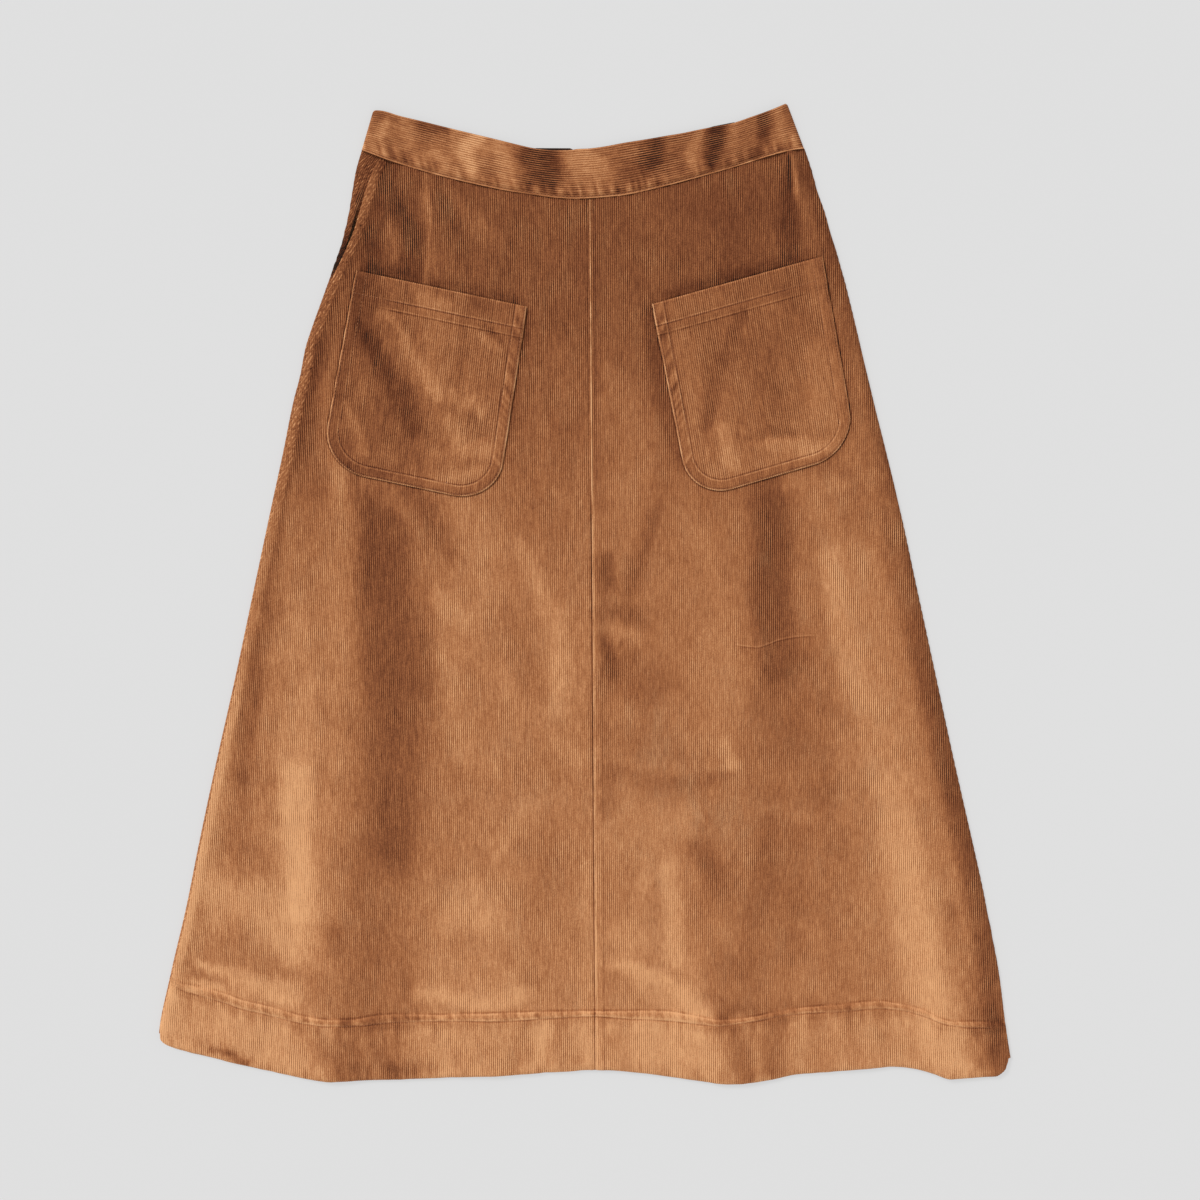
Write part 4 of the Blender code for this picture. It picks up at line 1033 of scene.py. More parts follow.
def hem_light_and_shade(x, y):
    """The hem's two lines with painted highlights and shade beside them, the puckers between them painted
    light and dark, and painted shade in the pulls at its edge.
    """
    stitches, ridge, edge = hem_stitches(x), hem_ridge(x), hem_edge(x)
    ends = ease((HEM_RIGHT - 12 - x) / 14)
    broken = ends * (0.6 + 0.55 * ripple(x, 12, 93))
    other = ends * (0.6 + 0.55 * ripple(x, 9, 97))
    pile_light_and_shade = 0.42 * broken * soft(y - stitches - 0.9, 0.8)
    pile_light_and_shade = pile_light_and_shade - 0.55 * other * soft(y - stitches + 0.4, 0.7)
    pile_light_and_shade = pile_light_and_shade - 0.12 * soft(y - stitches + 4, 3)
    pile_light_and_shade = pile_light_and_shade - 0.50 * other * soft(y - ridge - 0.3, 0.7)
    pile_light_and_shade = pile_light_and_shade + 0.30 * broken * soft(y - ridge + 0.9, 0.7)
    pull = ripple(x + 0.5 * y, 2.1, 11) + 0.7 * ripple(x, 6.0, 12)
    within = bump(y - (stitches + ridge) / 2, (ridge - stitches) / 2 + 1.5)
    pile_light_and_shade = pile_light_and_shade + (0.22 * pull - 0.06) * within
    below = ripple(x, 6.0, 15) * soft(y - stitches + 7, 7)
    up = y - edge
    foot = ripple(x, 9.0, 13) + 0.7 * ripple(x, 3.4, 14)
    pile_light_and_shade = pile_light_and_shade + 0.18 * below + 0.14 * foot * soft(up - 6, 6)
    dark = strokes(HEM_PUCKER_SHADE, x, y, 2.0) * (0.75 - 0.5 * foot)
    return pile_light_and_shade + 0.08 * soft(up, 1.5) - 0.20 * dark


LINING_EDGE = 135  # columns near each side where the lining follows the cloth closely
LINING_FINE, LINING_COARSE = 3, 14  # columns from one line of the lining to the next


def front_shell(name, grid, across, rows, rib, material):
    x, y = np.moveaxis(grid, 2, 0)[:2]
    columns, down = across.shape
    pile = front_pile_light_and_shade(np.minimum(x, right_fold(y)), y)
    inner = columns - LINING_EDGE
    ends = {*range(0, LINING_EDGE, LINING_FINE), *range(inner, columns, LINING_FINE)}
    steps_i = sorted({*ends, *range(LINING_EDGE, inner, LINING_COARSE), columns - 1})
    hem_lines = {0, 6, 10, 13, 17, 19, 20, 21, 22, 23, 24, 25, 28}
    upper_lines = {*range(31, 60, 3), *range(60, down - 14, 5), down - 10, down - 5, down - 1}
    steps_j = sorted({*hem_lines, *upper_lines})
    return shell(
        name, grid, 1, rib[:, None], WALL, (across, rows), pile, material, steps_i, steps_j
    )


# ---------------------------------------------------------------- back
OPENING_FOOT = 298  # where the side opening starts, above which the back's edge shows


def back_hem(x):
    inside = np.minimum(x - HEM_LEFT, HEM_RIGHT - x)
    return hem_edge(x) + BACK_HEM_RISE * ease(inside / BACK_HEM_REACH)


def back_place(u, v):
    """The back: on the floor, round the left-hand fold and on to its seam."""
    start = left_fold(v) + FOLD_DEPTH
    past = np.maximum(start - u, 0)
    height = fold_height(left_fold(v), v) - slit_drop(v)
    low_x, low_z = roll_at(ROLL_NARROW, np.clip(past, 0, NARROW))
    high_x, high_z = roll_at(ROLL_NARROW, NARROW - np.clip(past - NARROW, 0, NARROW))
    beyond = np.maximum(past - 2 * NARROW, 0)
    x = np.maximum(u, start) - FOLD_DEPTH * low_x + FOLD_DEPTH * (1 - high_x) + beyond
    z = height / 2 * (1 - low_z) + height / 2 * high_z
    return np.stack([x, v + 0 * u, z], axis=-1)


def back(material):
    def left_limit(y):
        inset = seam_inset(y)
        past_fold = np.maximum(0.0, inset - FOLD_DEPTH)
        return left_fold(y) + FOLD_DEPTH - NARROW - (NARROW - arc_at(inset)) - past_fold

    def right_limit(y):
        return right_fold(y) - UNDER_TURN - SEAM_GAP

    def seam(u):
        return waist_seam(np.clip(u, WAIST_LEFT, WAIST_RIGHT)) - SEWN / 2

    left_foot, right_foot = meet(back_hem, left_fold), meet(back_hem, right_limit)
    first, last = left_limit(left_foot) + EDGE_INSET, right_limit(right_foot) - EDGE_INSET
    u, rib = rib_columns(first, last)
    left_high, right_high = (column_span(u, limit, seam) for limit in (left_limit, right_limit))
    high = np.where(u < 0, left_high, right_high)
    low = np.minimum(back_hem(back_place(u, left_foot)[:, 0]), high - SHORTEST)
    across, rows = columns_of(u, low, high, 55 * ease((-u - 180) / 14), BACK_MIDDLE_ROWS)
    grid = back_place(across, rows)
    x, y, z = np.moveaxis(grid, 2, 0)
    on_top = ease((z - 1.0) / 1.0) * ease((y - OPENING_FOOT) / 8)
    inset = x - left_fold(y)
    pile_light_and_shade = LEVELS(y) + 0.1 * noise(x, y, 60, 160, 61) + 0.06
    # painted shade on the back's edge seen past the front, darkest in the shadowed side opening
    pile_light_and_shade = pile_light_and_shade - on_top * (0.10 + 1.0 * ease((347 - y) / 38) * ease((y - 299) / 6))
    pile_light_and_shade = pile_light_and_shade - 0.10 * on_top * ease((inset - 6) / 5)
    pile = {"pile_light_and_shade": pile_light_and_shade, "side": 6.0 - 12.0 * ease((z - 1.0) / 1.0)}
    columns, down = across.shape
    steps_i = sorted({*range(0, columns - 8, 16), columns - 1})
    steps_j = sorted({0, 8, 16, 26, down - 18, down - 12, down - 8, down - 4, down - 1})
    return shell(
        "back_cloth", grid, -1, rib[:, None], WALL, (across, rows), pile, material, steps_i, steps_j
    )


# ---------------------------------------------------------------- waistband
BAND_ROWS = 22  # ribs from its upper edge to the waist seam
BAND_COLUMNS = 250
BAND_BEND_STEPS = 9
BAND_UNDER_COLUMNS = 60
BAND_JOIN = 0.05
BAND_STITCH = 2.0  # how far above the seam its edge is stitched down


def back_band_top(x):
    top = band_top(x) - BACK_BAND_DROP
    for start, end in BACK_BAND_SHOWS:
        (ax, ay), (bx, by) = on_cloth(*start, 1.0), on_cloth(*end, 1.0)
        line = ay + (by - ay) * (x - ax) / (bx - ax)
        top = top + np.maximum(line - top, 0) * ease(np.minimum(x - ax, bx - x) / 4)
    return top


def gathers_at(x, y):
    return ripple(x + 0.25 * y, 2.7, 51) + 0.6 * ripple(x - 0.3 * y, 8.0, 52)


def band_relief(x, y, down):
    """Gathers above the seam, twists across the band and its stitched edge."""
    up = y - waist_seam(x)
    pull = gathers_at(x, y)
    gathers = 0.6 * pull * ease(1 - np.abs(up - 5) / 16)
    groove = -0.25 * soft(up - BAND_STITCH, 0.8)
    swell = 0.35 * noise(x, y, 34, 60, 53) + 0.2 * noise(x, y, 15, 40, 54)
    return gathers + groove + swell * bump(down - 0.5, 0.62) + strokes(BAND_CREASES, x, y)


def band_height(x, down):
    over_fold = FOLD_HEIGHT + BAND_CLOTH - CLOTH
    inside = np.minimum(x - BAND_TOP[0].x, BAND_TOP[-1].x - x)
    level = 2 * BAND_CLOTH + LAYER_GAP
    settled = ease((inside - FOLD_DEPTH) / FOLD_SETTLES)
    edge = down / 0.05
    rounded = 1.0 * (1 - np.sqrt(1 - (1 - np.clip(edge, 0, 1)) ** 2))
    foot = 1.6 * ease(1 - (1 - down) / 0.14) * settled
    return over_fold + (level - over_fold) * settled - rounded - foot


def waistband(material):
    share, rib = rib_columns(0.0, BAND_ROWS * PITCH)
    share = share / share[-1]
    ends = {-1: (BAND_TOP[0].x, WAIST_LEFT), 1: (BAND_TOP[-1].x, WAIST_RIGHT)}
    starts = [x + FOLD_DEPTH for x in ends[-1]]
    stops = [x - FOLD_DEPTH for x in ends[1]]

    def strand(top_x, low_x, upper, height):
        top_y, low_y = upper(top_x), waist_seam(low_x) + SEWN / 2
        x = top_x + (low_x - top_x) * share
        y = top_y + (low_y - top_y) * share
        return np.stack([x, y, height(x, y)], axis=-1)

    def flat(across, upper, height):
        top_x, low_x = (a + (b - a) * across for a, b in zip(starts, stops))
        return strand(top_x, low_x, upper, height)

    def floor(x, _):
        return 0 * x + 0.9 * (1 - np.sqrt(1 - (1 - np.clip(share / 0.04, 0, 1)) ** 2))

    def front(x, y):
        inside = np.minimum(x - starts[1], stops[1] - x)
        return band_height(x, share) + band_relief(x, y, share) * ease((inside + 8) / 10)

    def bend(turn, around):
        c, s = math.cos(math.radians(around)), math.sin(math.radians(around))

        def height(x, y):
            tall = band_height(x, share)
            twist = band_relief(x, y, share) * ease(s)
            return tall / 2 * (1 + s) + twist * 0.8

        tops = [x - turn * FOLD_DEPTH * (1 - c) for x in ends[turn]]
        return strand(*tops, band_top, height)

    angles = np.linspace(-90, 90, BAND_BEND_STEPS + 2)[1:-1]
    meeting = BAND_JOIN + SEAM_GAP / (stops[0] - starts[0])
    under = np.linspace(0, 1, BAND_UNDER_COLUMNS)
    columns = [flat(BAND_JOIN, back_band_top, floor), flat(0.0, back_band_top, floor)]
    columns += [bend(-1, a) for a in angles]
    columns += [flat(a, band_top, front) for a in np.linspace(0, 1, BAND_COLUMNS)]
    columns += [bend(1, a) for a in angles[::-1]]
    columns += [flat(a, back_band_top, floor) for a in under[::-1] if a > 2 * meeting]
    columns.append(flat(meeting, back_band_top, floor))
    grid = np.array(columns)
    length = np.linalg.norm(np.diff(grid[:, 40], axis=0), axis=1)
    along = np.concatenate([[0], np.cumsum(length)])[:, None] + 0 * share
    x, y, z = np.moveaxis(grid, 2, 0)
    up = y - waist_seam(x)
    patches = strokes(BAND_PILE_AND_SHADE, x, y) + strokes(BAND_PATCHES, *wander(x, y), 9.0)
    pile_light_and_shade = 0.40 + patches * ease((z - 2) / 2)
    pile_light_and_shade = pile_light_and_shade - 0.12 * ease((x + 30) / 60)
    # painted light and shade on the gathers above the seam
    rising = 10 + 5 * ripple(x, 7.0, 55)
    gathered = ease(1 - up / (rising + 8)) * ease((up - 1) / 3)
    amount = 0.48 + 0.20 * ripple(x, 40, 56)
    pile_light_and_shade = pile_light_and_shade + amount * gathers_at(x, y) * gathered - 0.05 * gathered
    # a painted highlight on the band's folded lower edge, and painted shade under it
    lit = 0.12 + 0.30 * ease((x + 20) / 40)
    pile_light_and_shade = pile_light_and_shade + lit * bump(up - 0.7, 1.1) - 0.30 * bump(up + 0.1, 0.8)
    # painted shade by its stitching, and a painted highlight along its upper fold
    pile_light_and_shade = pile_light_and_shade - 0.10 * bump(up - BAND_STITCH - 0.6, 1.5)
    pile_light_and_shade = pile_light_and_shade + 0.12 * bump(share * 40 - 0.6, 1.4)
    lower_layer = ease((2.4 - z) / 0.6)  # the back's band, seen past the front's upper edge, painted dark as the shade it lies in
    pile_light_and_shade = pile_light_and_shade * (1 - lower_layer) - 0.45 * lower_layer
    pile = {"pile_light_and_shade": pile_light_and_shade, "crush": 0.5 * gathered}
    count, down = grid.shape[:2]
    steps_i = sorted({*range(0, count - 3, 3), count - 1})
    steps_j = sorted({0, 4, 22, 44, 66, down - 5, down - 1})
    crosswise = np.broadcast_to(share * BAND_ROWS * PITCH, (count, down))
    wall = BAND_CLOTH - 0.3
    return shell(
        "waistband_cloth", grid, -1, rib, wall, (crosswise, along), pile, material, steps_i, steps_j
    )


# ---------------------------------------------------------------- pockets
POCKET_HEIGHT = 6.5
# corners: inner and outer at the mouth, then outer and inner at the foot; outer_shade: how much
# darker the painted shadow past its outer edge is; outer_dim: how much fainter the painted lines on that
# edge are
Pocket = namedtuple("Pocket", "name corners rib_turn outer_shade outer_dim")


def on_pocket(*places):
    return [on_cloth(px, py, POCKET_HEIGHT) for px, py in places]


POCKETS = (
    Pocket(
        "pocket_left",
        on_pocket((527, 306.5), (355.9, 270.3), (319.4, 467.7), (496.6, 504.9)),
        -7.5,
        0.6,
        0.0,
    ),
    Pocket(
        "pocket_right",
        on_pocket((651.9, 304), (822.5, 256), (857.2, 452.3), (690.4, 501.7)),
        9.4,
        0.9,
        0.8,
    ),
)
POCKET_WIDTH = 149.0
POCKET_DEPTH = 174.0
POCKET_CORNER = 38.0
POCKET_HEM = 19.0
POCKET_TURNING = 27.0  # where the turned-down mouth ends
POCKET_INNER = 9.5  # the inner line of stitches round the other three sides
POCKET_OUTER = 1.7
POCKET_GAP = 0.45
MOUTH_RISE, MOUTH_REACH = 0.9, 30.0
POCKET_FOOT_ROWS = (0, 0.6, 1.3, 2.2, 3.4, 5, 7, 9, 10.5, 12.5, 15)  # up from the foot
POCKET_HEAD_ROWS = (0, 0.6, 1.3, 2.4, 4, 8, 13, 18, 19, 20, 22, 26, 28, 31)  # down from the mouth
POCKET_MIDDLE_ROWS = 56
POCKET_FULL_LENGTH = 60  # a column shorter than this has its rows closer together


def pocket_points(spec, across, down):
    """Places on a pocket that lies a little out of square, from its own flat millimetres."""
    (ax, ay), (bx, by), (cx, cy), (dx, dy) = spec.corners
    u, v = across / POCKET_WIDTH, down / POCKET_DEPTH
    x = (ax + (bx - ax) * u) * (1 - v) + (dx + (cx - dx) * u) * v
    return x, (ay + (by - ay) * u) * (1 - v) + (dy + (cy - dy) * u) * v


def pocket_axes(spec, x, y, rounds=5):
    """(across, down) of a point in the pocket's own millimetres, across from its inner edge."""
    (ax, ay), (bx, by), (cx, cy), (dx, dy) = spec.corners
    u = v = np.full(np.shape(x), 0.5)
    for _ in range(rounds):
        px, py = pocket_points(spec, u * POCKET_WIDTH, v * POCKET_DEPTH)
        ux, uy = (bx - ax) * (1 - v) + (cx - dx) * v, (by - ay) * (1 - v) + (cy - dy) * v
        vx, vy = (dx - ax) * (1 - u) + (cx - bx) * u, (dy - ay) * (1 - u) + (cy - by) * u
        size = ux * vy - uy * vx
        u = u + ((x - px) * vy - (y - py) * vx) / size
        v = v + ((y - py) * ux - (x - px) * uy) / size
    return u * POCKET_WIDTH, v * POCKET_DEPTH


def pocket_margin(across, down):
    """How far inside the sewn edge a point lies: its sides and round-cornered foot."""
    aside = np.minimum(across, POCKET_WIDTH - across)
    below = POCKET_DEPTH - down
    corner_x, corner_y = POCKET_CORNER - aside, POCKET_CORNER - below
    rounded = POCKET_CORNER - np.hypot(np.maximum(corner_x, 0), np.maximum(corner_y, 0))
    return np.where((corner_x > 0) & (corner_y > 0), rounded, np.minimum(aside, below))


def rounded_path(inset, start, steps):
    """Down one side of a pocket, round its foot and up the other, this far inside its edge."""
    radius = POCKET_CORNER - inset
    low = POCKET_DEPTH - POCKET_CORNER
    angles = np.linspace(0, np.pi / 2, steps)
    near = [(inset + radius * (1 - math.cos(a)), low + radius * math.sin(a)) for a in angles]
    far = [(POCKET_WIDTH - a, d) for a, d in reversed(near)]
    return np.array([(inset, start), *near, *far, (POCKET_WIDTH - inset, start)])


def pocket_outline(spec):
    """The sewn outline in garment millimetres, from the mouth's inner end round to its outer."""
    corners = rounded_path(0.0, 0.0, 40)
    return pocket_points(spec, corners[:, 0], corners[:, 1])


def pocket_surface(spec, x, y):
    across, down = pocket_axes(spec, x, y)
    margin = pocket_margin(across, down)
    double = ease((POCKET_TURNING - down) / 1.6)
    cloth = CLOTH + 0.6 * double
    mouth = MOUTH_RISE * bump(down, MOUTH_REACH) * np.sin(np.pi * np.clip(across / POCKET_WIDTH, 0, 1))
    strip = ease(margin / 1.0) * ease((POCKET_INNER + 1.2 - margin) / 1.6)
    around = across + down
    pull = ripple(around, 3.6, 71) + 0.6 * ripple(around, 8.0, 72)
    inner_side = ease((POCKET_WIDTH / 2 - across) / 20)
    puckers = (0.12 + 0.14 * inner_side) * pull * bump(margin - POCKET_INNER / 2 - 1, 5)
    grooves = -0.4 * soft(margin - POCKET_INNER, 0.8)
    grooves = grooves - 0.3 * soft(margin - POCKET_OUTER, 0.6)
    mouth_line = -0.4 * soft(down - POCKET_HEM, 0.8) * ease(margin / 3)
    hem_pull = 0.14 * ripple(across, 4, 73) * bump(down - (POCKET_HEM + 4), 9)
    rounding = -0.8 * (1 - ease(margin / 1.3)) - 0.7 * (1 - ease(down / 1.4))
    belly = 0.25 * noise(x, y, 30, 60, 74) * ease((margin - 10) / 15)
    creases = strokes(POCKET_CREASES, x, y) * ease((margin - 6) / 8) * ease(down / 25)
    under = front_surface(x, y) + POCKET_GAP
    detail = 0.2 * strip + puckers + grooves + mouth_line + hem_pull + rounding + belly + creases
    return under + cloth + mouth + detail


def pocket(spec, material):
    lean = math.radians(spec.rib_turn)
    along = np.array([-math.sin(lean), math.cos(lean)])  # up the ribs
    cross = np.array([math.cos(lean), math.sin(lean)])
    edge_x, edge_y = pocket_outline(spec)
    edge_u = edge_x * cross[0] + edge_y * cross[1]
    edge_v = edge_x * along[0] + edge_y * along[1]
    left, right = np.argmin(edge_u), np.argmax(edge_u)
    first, last = min(left, right), max(left, right)
    chains = (np.arange(first, last + 1), np.r_[np.arange(last, len(edge_u)), np.arange(first + 1)])
    u, rib = rib_columns(edge_u[left] + 0.25, edge_u[right] - 0.25)
    ends = []
    for chain in chains:
        order = chain[np.argsort(edge_u[chain])]
        ends.append(np.interp(u, edge_u[order], edge_v[order]))
    low, high = np.minimum(*ends), np.maximum(*ends)
    reach = np.minimum(1.0, (high - low) / POCKET_FULL_LENGTH)
    foot = low + np.array(POCKET_FOOT_ROWS)[:, None] * reach
    head = high - np.array(POCKET_HEAD_ROWS)[::-1, None] * reach
    share = (np.arange(POCKET_MIDDLE_ROWS) + 1)[:, None] / (POCKET_MIDDLE_ROWS + 1)
    rows = np.concatenate([foot, foot[-1] + (head[0] - foot[-1]) * share, head]).T
    across = np.broadcast_to(u[:, None], rows.shape)
    x = across * cross[0] + rows * along[0]
    y = across * cross[1] + rows * along[1]
    grid = np.stack([x, y, pocket_surface(spec, x, y)], axis=-1)
    inward, down = pocket_axes(spec, x, y)
    margin = pocket_margin(inward, down)
    # the pocket's pile, with its painted light and shade
    pile_light_and_shade = LEVELS(y) + 0.08 + strokes(POCKET_PILE_AND_SHADE, *wander(x, y))
    around = inward + down
    broken = 0.6 + 0.5 * ripple(around, 9, 95)
    inner_side = ease((POCKET_WIDTH / 2 - inward) / 20) * ease((POCKET_DEPTH - 20 - down) / 20)
    ticks = ripple(around, 3.3, 71) + 0.6 * ripple(around, 8.0, 72)
    strip = ease(margin / 1.5) * ease((POCKET_INNER + 0.5 - margin) / 1.5)
    foot_share = ease((down - POCKET_DEPTH + 60) / 30)
    # the strip inside the stitching: puckers painted light and dark on the inner side, darker on the
    # other sides, most at the foot
    pile_light_and_shade = pile_light_and_shade + strip * (0.26 * inner_side * ticks - (0.03 + 0.13 * foot_share) * (1 - inner_side))
    pile_light_and_shade = pile_light_and_shade + 0.22 * (broken - 0.6) * soft(margin - 0.5, 1.0)
    turned = bump(down - (POCKET_HEM + POCKET_TURNING) / 2, 6)
    crush = np.clip(0.8 * strip + 0.5 * turned, 0, 1)
    # the painted light and shade lines by the pocket's outer edge are fainter
    outer_side = ease((inward - POCKET_WIDTH + 24) / 8) * (1 - foot_share)
    firm = 1 - 0.7 * outer_side * ease((margin - 4) / 2)
    edge_side = ease((inward - POCKET_WIDTH + 14) / 8) * ease((3 - margin) / 1.5)
    firm = firm * (1 - spec.outer_dim * edge_side)
    turned = 1 - 0.9 * ease((inward - 108 - 8 * ripple(down, 4, 98)) / 26)
    pile = {"pile_light_and_shade": pile_light_and_shade, "crush": crush, "rim": margin, "firm": firm, "mouth": down, "turned": turned}
    columns, count = across.shape
    steps_i = sorted({*range(0, columns - 5, 8), columns - 1})
    steps_j = sorted({0, 5, 10, *range(18, count - 14, 8), count - 8, count - 1})
    name, rib = spec.name + "_cloth", rib[:, None]
    return shell(name, grid, 1, rib, WALL, (across, rows), pile, material, steps_i, steps_j)


# ---------------------------------------------------------------- stitches
STITCH_PITCH = 3.1
STITCH_LENGTH = 2.5
STITCH_RADIUS = 0.28
HEM_THREAD = (-388, 372)  # where the hem's row of stitches starts and ends


def stitch_line(x, y, height):
    """(start, end) points of the stitches along a line drawn on a surface."""
    run = run_length(x, y)
    starts = np.arange(0.6, run[-1] - STITCH_LENGTH, STITCH_PITCH)
    pairs = []
    for where in (starts, starts + STITCH_LENGTH):
        px, py = np.interp(where, run, x), np.interp(where, run, y)
        pairs.append(np.stack([px, py, height(px, py)], axis=-1))
    return np.stack(pairs, axis=1)


def stitching(name, lines, material):
    """Spindle-shaped stitches, four-sided, in one mesh."""
    pairs = np.concatenate(lines)
    start, end = pairs[:, 0], pairs[:, 1]
    along = end - start
    side = np.cross(along, (0, 0, 1.0))
    side /= np.linalg.norm(side, axis=1, keepdims=True)
    up = np.cross(side, along)
    up /= np.linalg.norm(up, axis=1, keepdims=True)
    rings = [start]
    for share, radius in ((0.2, 1.0), (0.8, 1.0)):
        for a, b in ((1, 0), (0, 1), (-1, 0), (0, -1)):
            rings.append(start + along * share + (side * a + up * b) * STITCH_RADIUS * radius)
    rings.append(end)
    points = np.stack(rings, axis=1).reshape(-1, 3)
    one = []
    for k in range(4):
        n = (k + 1) % 4
        one += [(0, 1 + n, 1 + k), (1 + k, 1 + n, 5 + n), (1 + k, 5 + n, 5 + k), (9, 5 + k, 5 + n)]
    faces = (np.array(one)[None] + 10 * np.arange(len(pairs))[:, None, None]).reshape(-1, 3)
    uv = points[:, :2] * MM
    return cloth_object(name, points, faces.tolist(), uv, {}, material)


def hem_line():
    x = np.linspace(*HEM_THREAD, 1500)
    return stitch_line(x, hem_stitches(x), lambda a, b: front_surface(a, b) - 0.1)


def band_line():
    x = np.linspace(WAIST_LEFT + 7, WAIST_RIGHT - 7, 800)
    y = waist_seam(x) + BAND_STITCH

    def height(a, b):
        down = 1 - (b - waist_seam(a)) / 40
        return band_height(a, down) + band_relief(a, b, down) - 0.1

    return stitch_line(x, y, height)


def pocket_lines(spec):
    lines = []
    steps = np.linspace(0, 1, 200)

    def surface(a, b):
        return pocket_surface(spec, a, b) - 0.1

    for inset in (POCKET_OUTER, POCKET_INNER):
        path = rounded_path(inset, 0.8, 30)
        run = run_length(*path.T)
        fine = np.linspace(0, run[-1], 900)
        across, down = np.interp(fine, run, path[:, 0]), np.interp(fine, run, path[:, 1])
        lines.append(stitch_line(*pocket_points(spec, across, down), surface))
    across = POCKET_OUTER + (POCKET_WIDTH - 2 * POCKET_OUTER) * steps
    down = POCKET_HEM + 0 * steps
    lines.append(stitch_line(*pocket_points(spec, across, down), surface))
    return lines


# ---------------------------------------------------------------- materials
Shade = namedtuple("Shade", "tone red green blue")
SHADES = (
    Shade(-0.60, 0.016, 0.008, 0.005),
    Shade(-0.25, 0.092, 0.023, 0.008),
    Shade(0.00, 0.154, 0.046, 0.016),
    Shade(0.25, 0.241, 0.080, 0.030),
    Shade(0.50, 0.350, 0.127, 0.046),
    Shade(0.75, 0.470, 0.193, 0.077),
    Shade(1.00, 0.602, 0.278, 0.121),
    Shade(1.35, 0.800, 0.420, 0.200),
)


TONE_SCALE, TONE_START = 0.5, 0.30  # from a tone to a place on the ramp of shades
SIDE_LEAN = math.radians(36)  # of the ticks on the left-hand seam's strip from the ribs
TICK_PITCH = 2.5

# painted highlights and shade, drawn at a distance from a pocket's edge, from its mouth or from a crease
Line = namedtuple("Line", "where width amount")
# a painted shadow just outside a pocket's edge; painted shade above a pocket's mouth; a crease's painted
# highlight and shade
BODY_EDGE_SHADOW = (Line(-0.6, 0.6, -0.38),)
BODY_MOUTH_SHADOW = (Line(-4.0, 6.0, -0.22), Line(-0.4, 0.8, -0.25))
CREASE_LIGHT_AND_SHADE = (Line(0.6, 0.7, 0.26), Line(-0.8, 0.7, -0.26))
# painted highlights and shade along the pocket mouth's stitched hem and turned edge
MOUTH_LIGHT_AND_SHADE = (
    Line(0.6, 0.6, 0.30),
    Line(POCKET_HEM - 0.7, 0.6, 0.26),
    Line(POCKET_HEM + 0.5, 0.6, -0.40),
    Line(POCKET_TURNING - 0.8, 0.6, 0.26),
    Line(POCKET_TURNING + 0.5, 0.6, -0.34),
)
# a light line on the pocket's rolled edge, partly worn pile and partly painted highlight; painted shade
# inside it; painted light and shade by the inner stitching
POCKET_EDGE_LIGHT_AND_SHADE = (
    Line(0.5, 0.6, 0.70),
    Line(1.9, 0.6, -0.34),
    Line(POCKET_INNER - 0.7, 0.55, 0.36),
    Line(POCKET_INNER + 0.6, 0.6, -0.44),
)


class Nodes:
    """A short way to write a material's nodes."""

    def __init__(self, name):
        self.material = bpy.data.materials.new(name)
        self.material.use_nodes = True
        self.tree = self.material.node_tree
        self.surface = self.tree.nodes["Principled BSDF"]

    def put(self, target, value):
        if isinstance(value, bpy.types.NodeSocket):
            self.tree.links.new(value, target)
        else:
            target.default_value = value

    def give(self, inputs):
        """Values or links for the surface's inputs, by name."""
        for key, value in inputs.items():
            self.put(self.surface.inputs[key], value)

    def node(self, kind, *first, **named):
        """A new node with inputs given in order or by name."""
        made = self.tree.nodes.new("ShaderNode" + kind)
        for key, value in (*enumerate(first), *named.items()):
            self.put(made.inputs[key], value)
        return made

    def math(self, operation, a, b=0.0, clamp=False):
        node = self.node("Math", a, b)
        node.operation, node.use_clamp = operation, clamp
        return node.outputs[0]

    def sum(self, first, *others):
        for other in others:
            first = self.math("ADD", first, other)
        return first

    def times(self, first, *others):
        for other in others:
            first = self.math("MULTIPLY", first, other)
        return first

    def mix(self, share, a, b):
        """a where share is 0 and b where it is 1."""
        return self.sum(a, self.times(share, self.math("SUBTRACT", b, a)))

    def line(self, distance, where, width, amount):
        """A soft line, drawn where a distance in millimetres has one value."""
        near = self.math("DIVIDE", self.math("SUBTRACT", distance, where), width)
        fall = self.times(near, near, -1.0)
        return self.times(self.math("EXPONENT", fall), amount)

    def attribute(self, name):
        node = self.node("Attribute")
        node.attribute_name = name
        return node.outputs["Fac"]

    def noise(self, vector, scale, detail=2.0, roughness=0.5):
        """Noise from -1 to 1 whose scale is given along each axis, in turns a metre."""
        stretch = self.node("VectorMath", vector, scale)
        stretch.operation = "MULTIPLY"
        grain = {"Scale": 1.0, "Detail": detail, "Roughness": roughness}
        node = self.node("TexNoise", Vector=stretch.outputs[0], **grain)
        return self.times(self.math("SUBTRACT", node.outputs[0], 0.5), 2.0)

    def bump(self, height, distance, strength, before=None):
        node = self.node("Bump", Distance=distance, Strength=strength, Height=height)
        if before is not None:
            self.put(node.inputs["Normal"], before)
        return node.outputs["Normal"]

    def ramp(self, share, places, colours):
        """Colours that run from one to the next as the share passes their places."""
        node = self.node("ValToRGB", share)
        elements = node.color_ramp.elements
        while len(elements) < len(colours):
            elements.new(0.5)
        for element, place, colour in zip(elements, places, colours):
            element.position, element.color = place, (*colour, 1)
        return node.outputs[0]


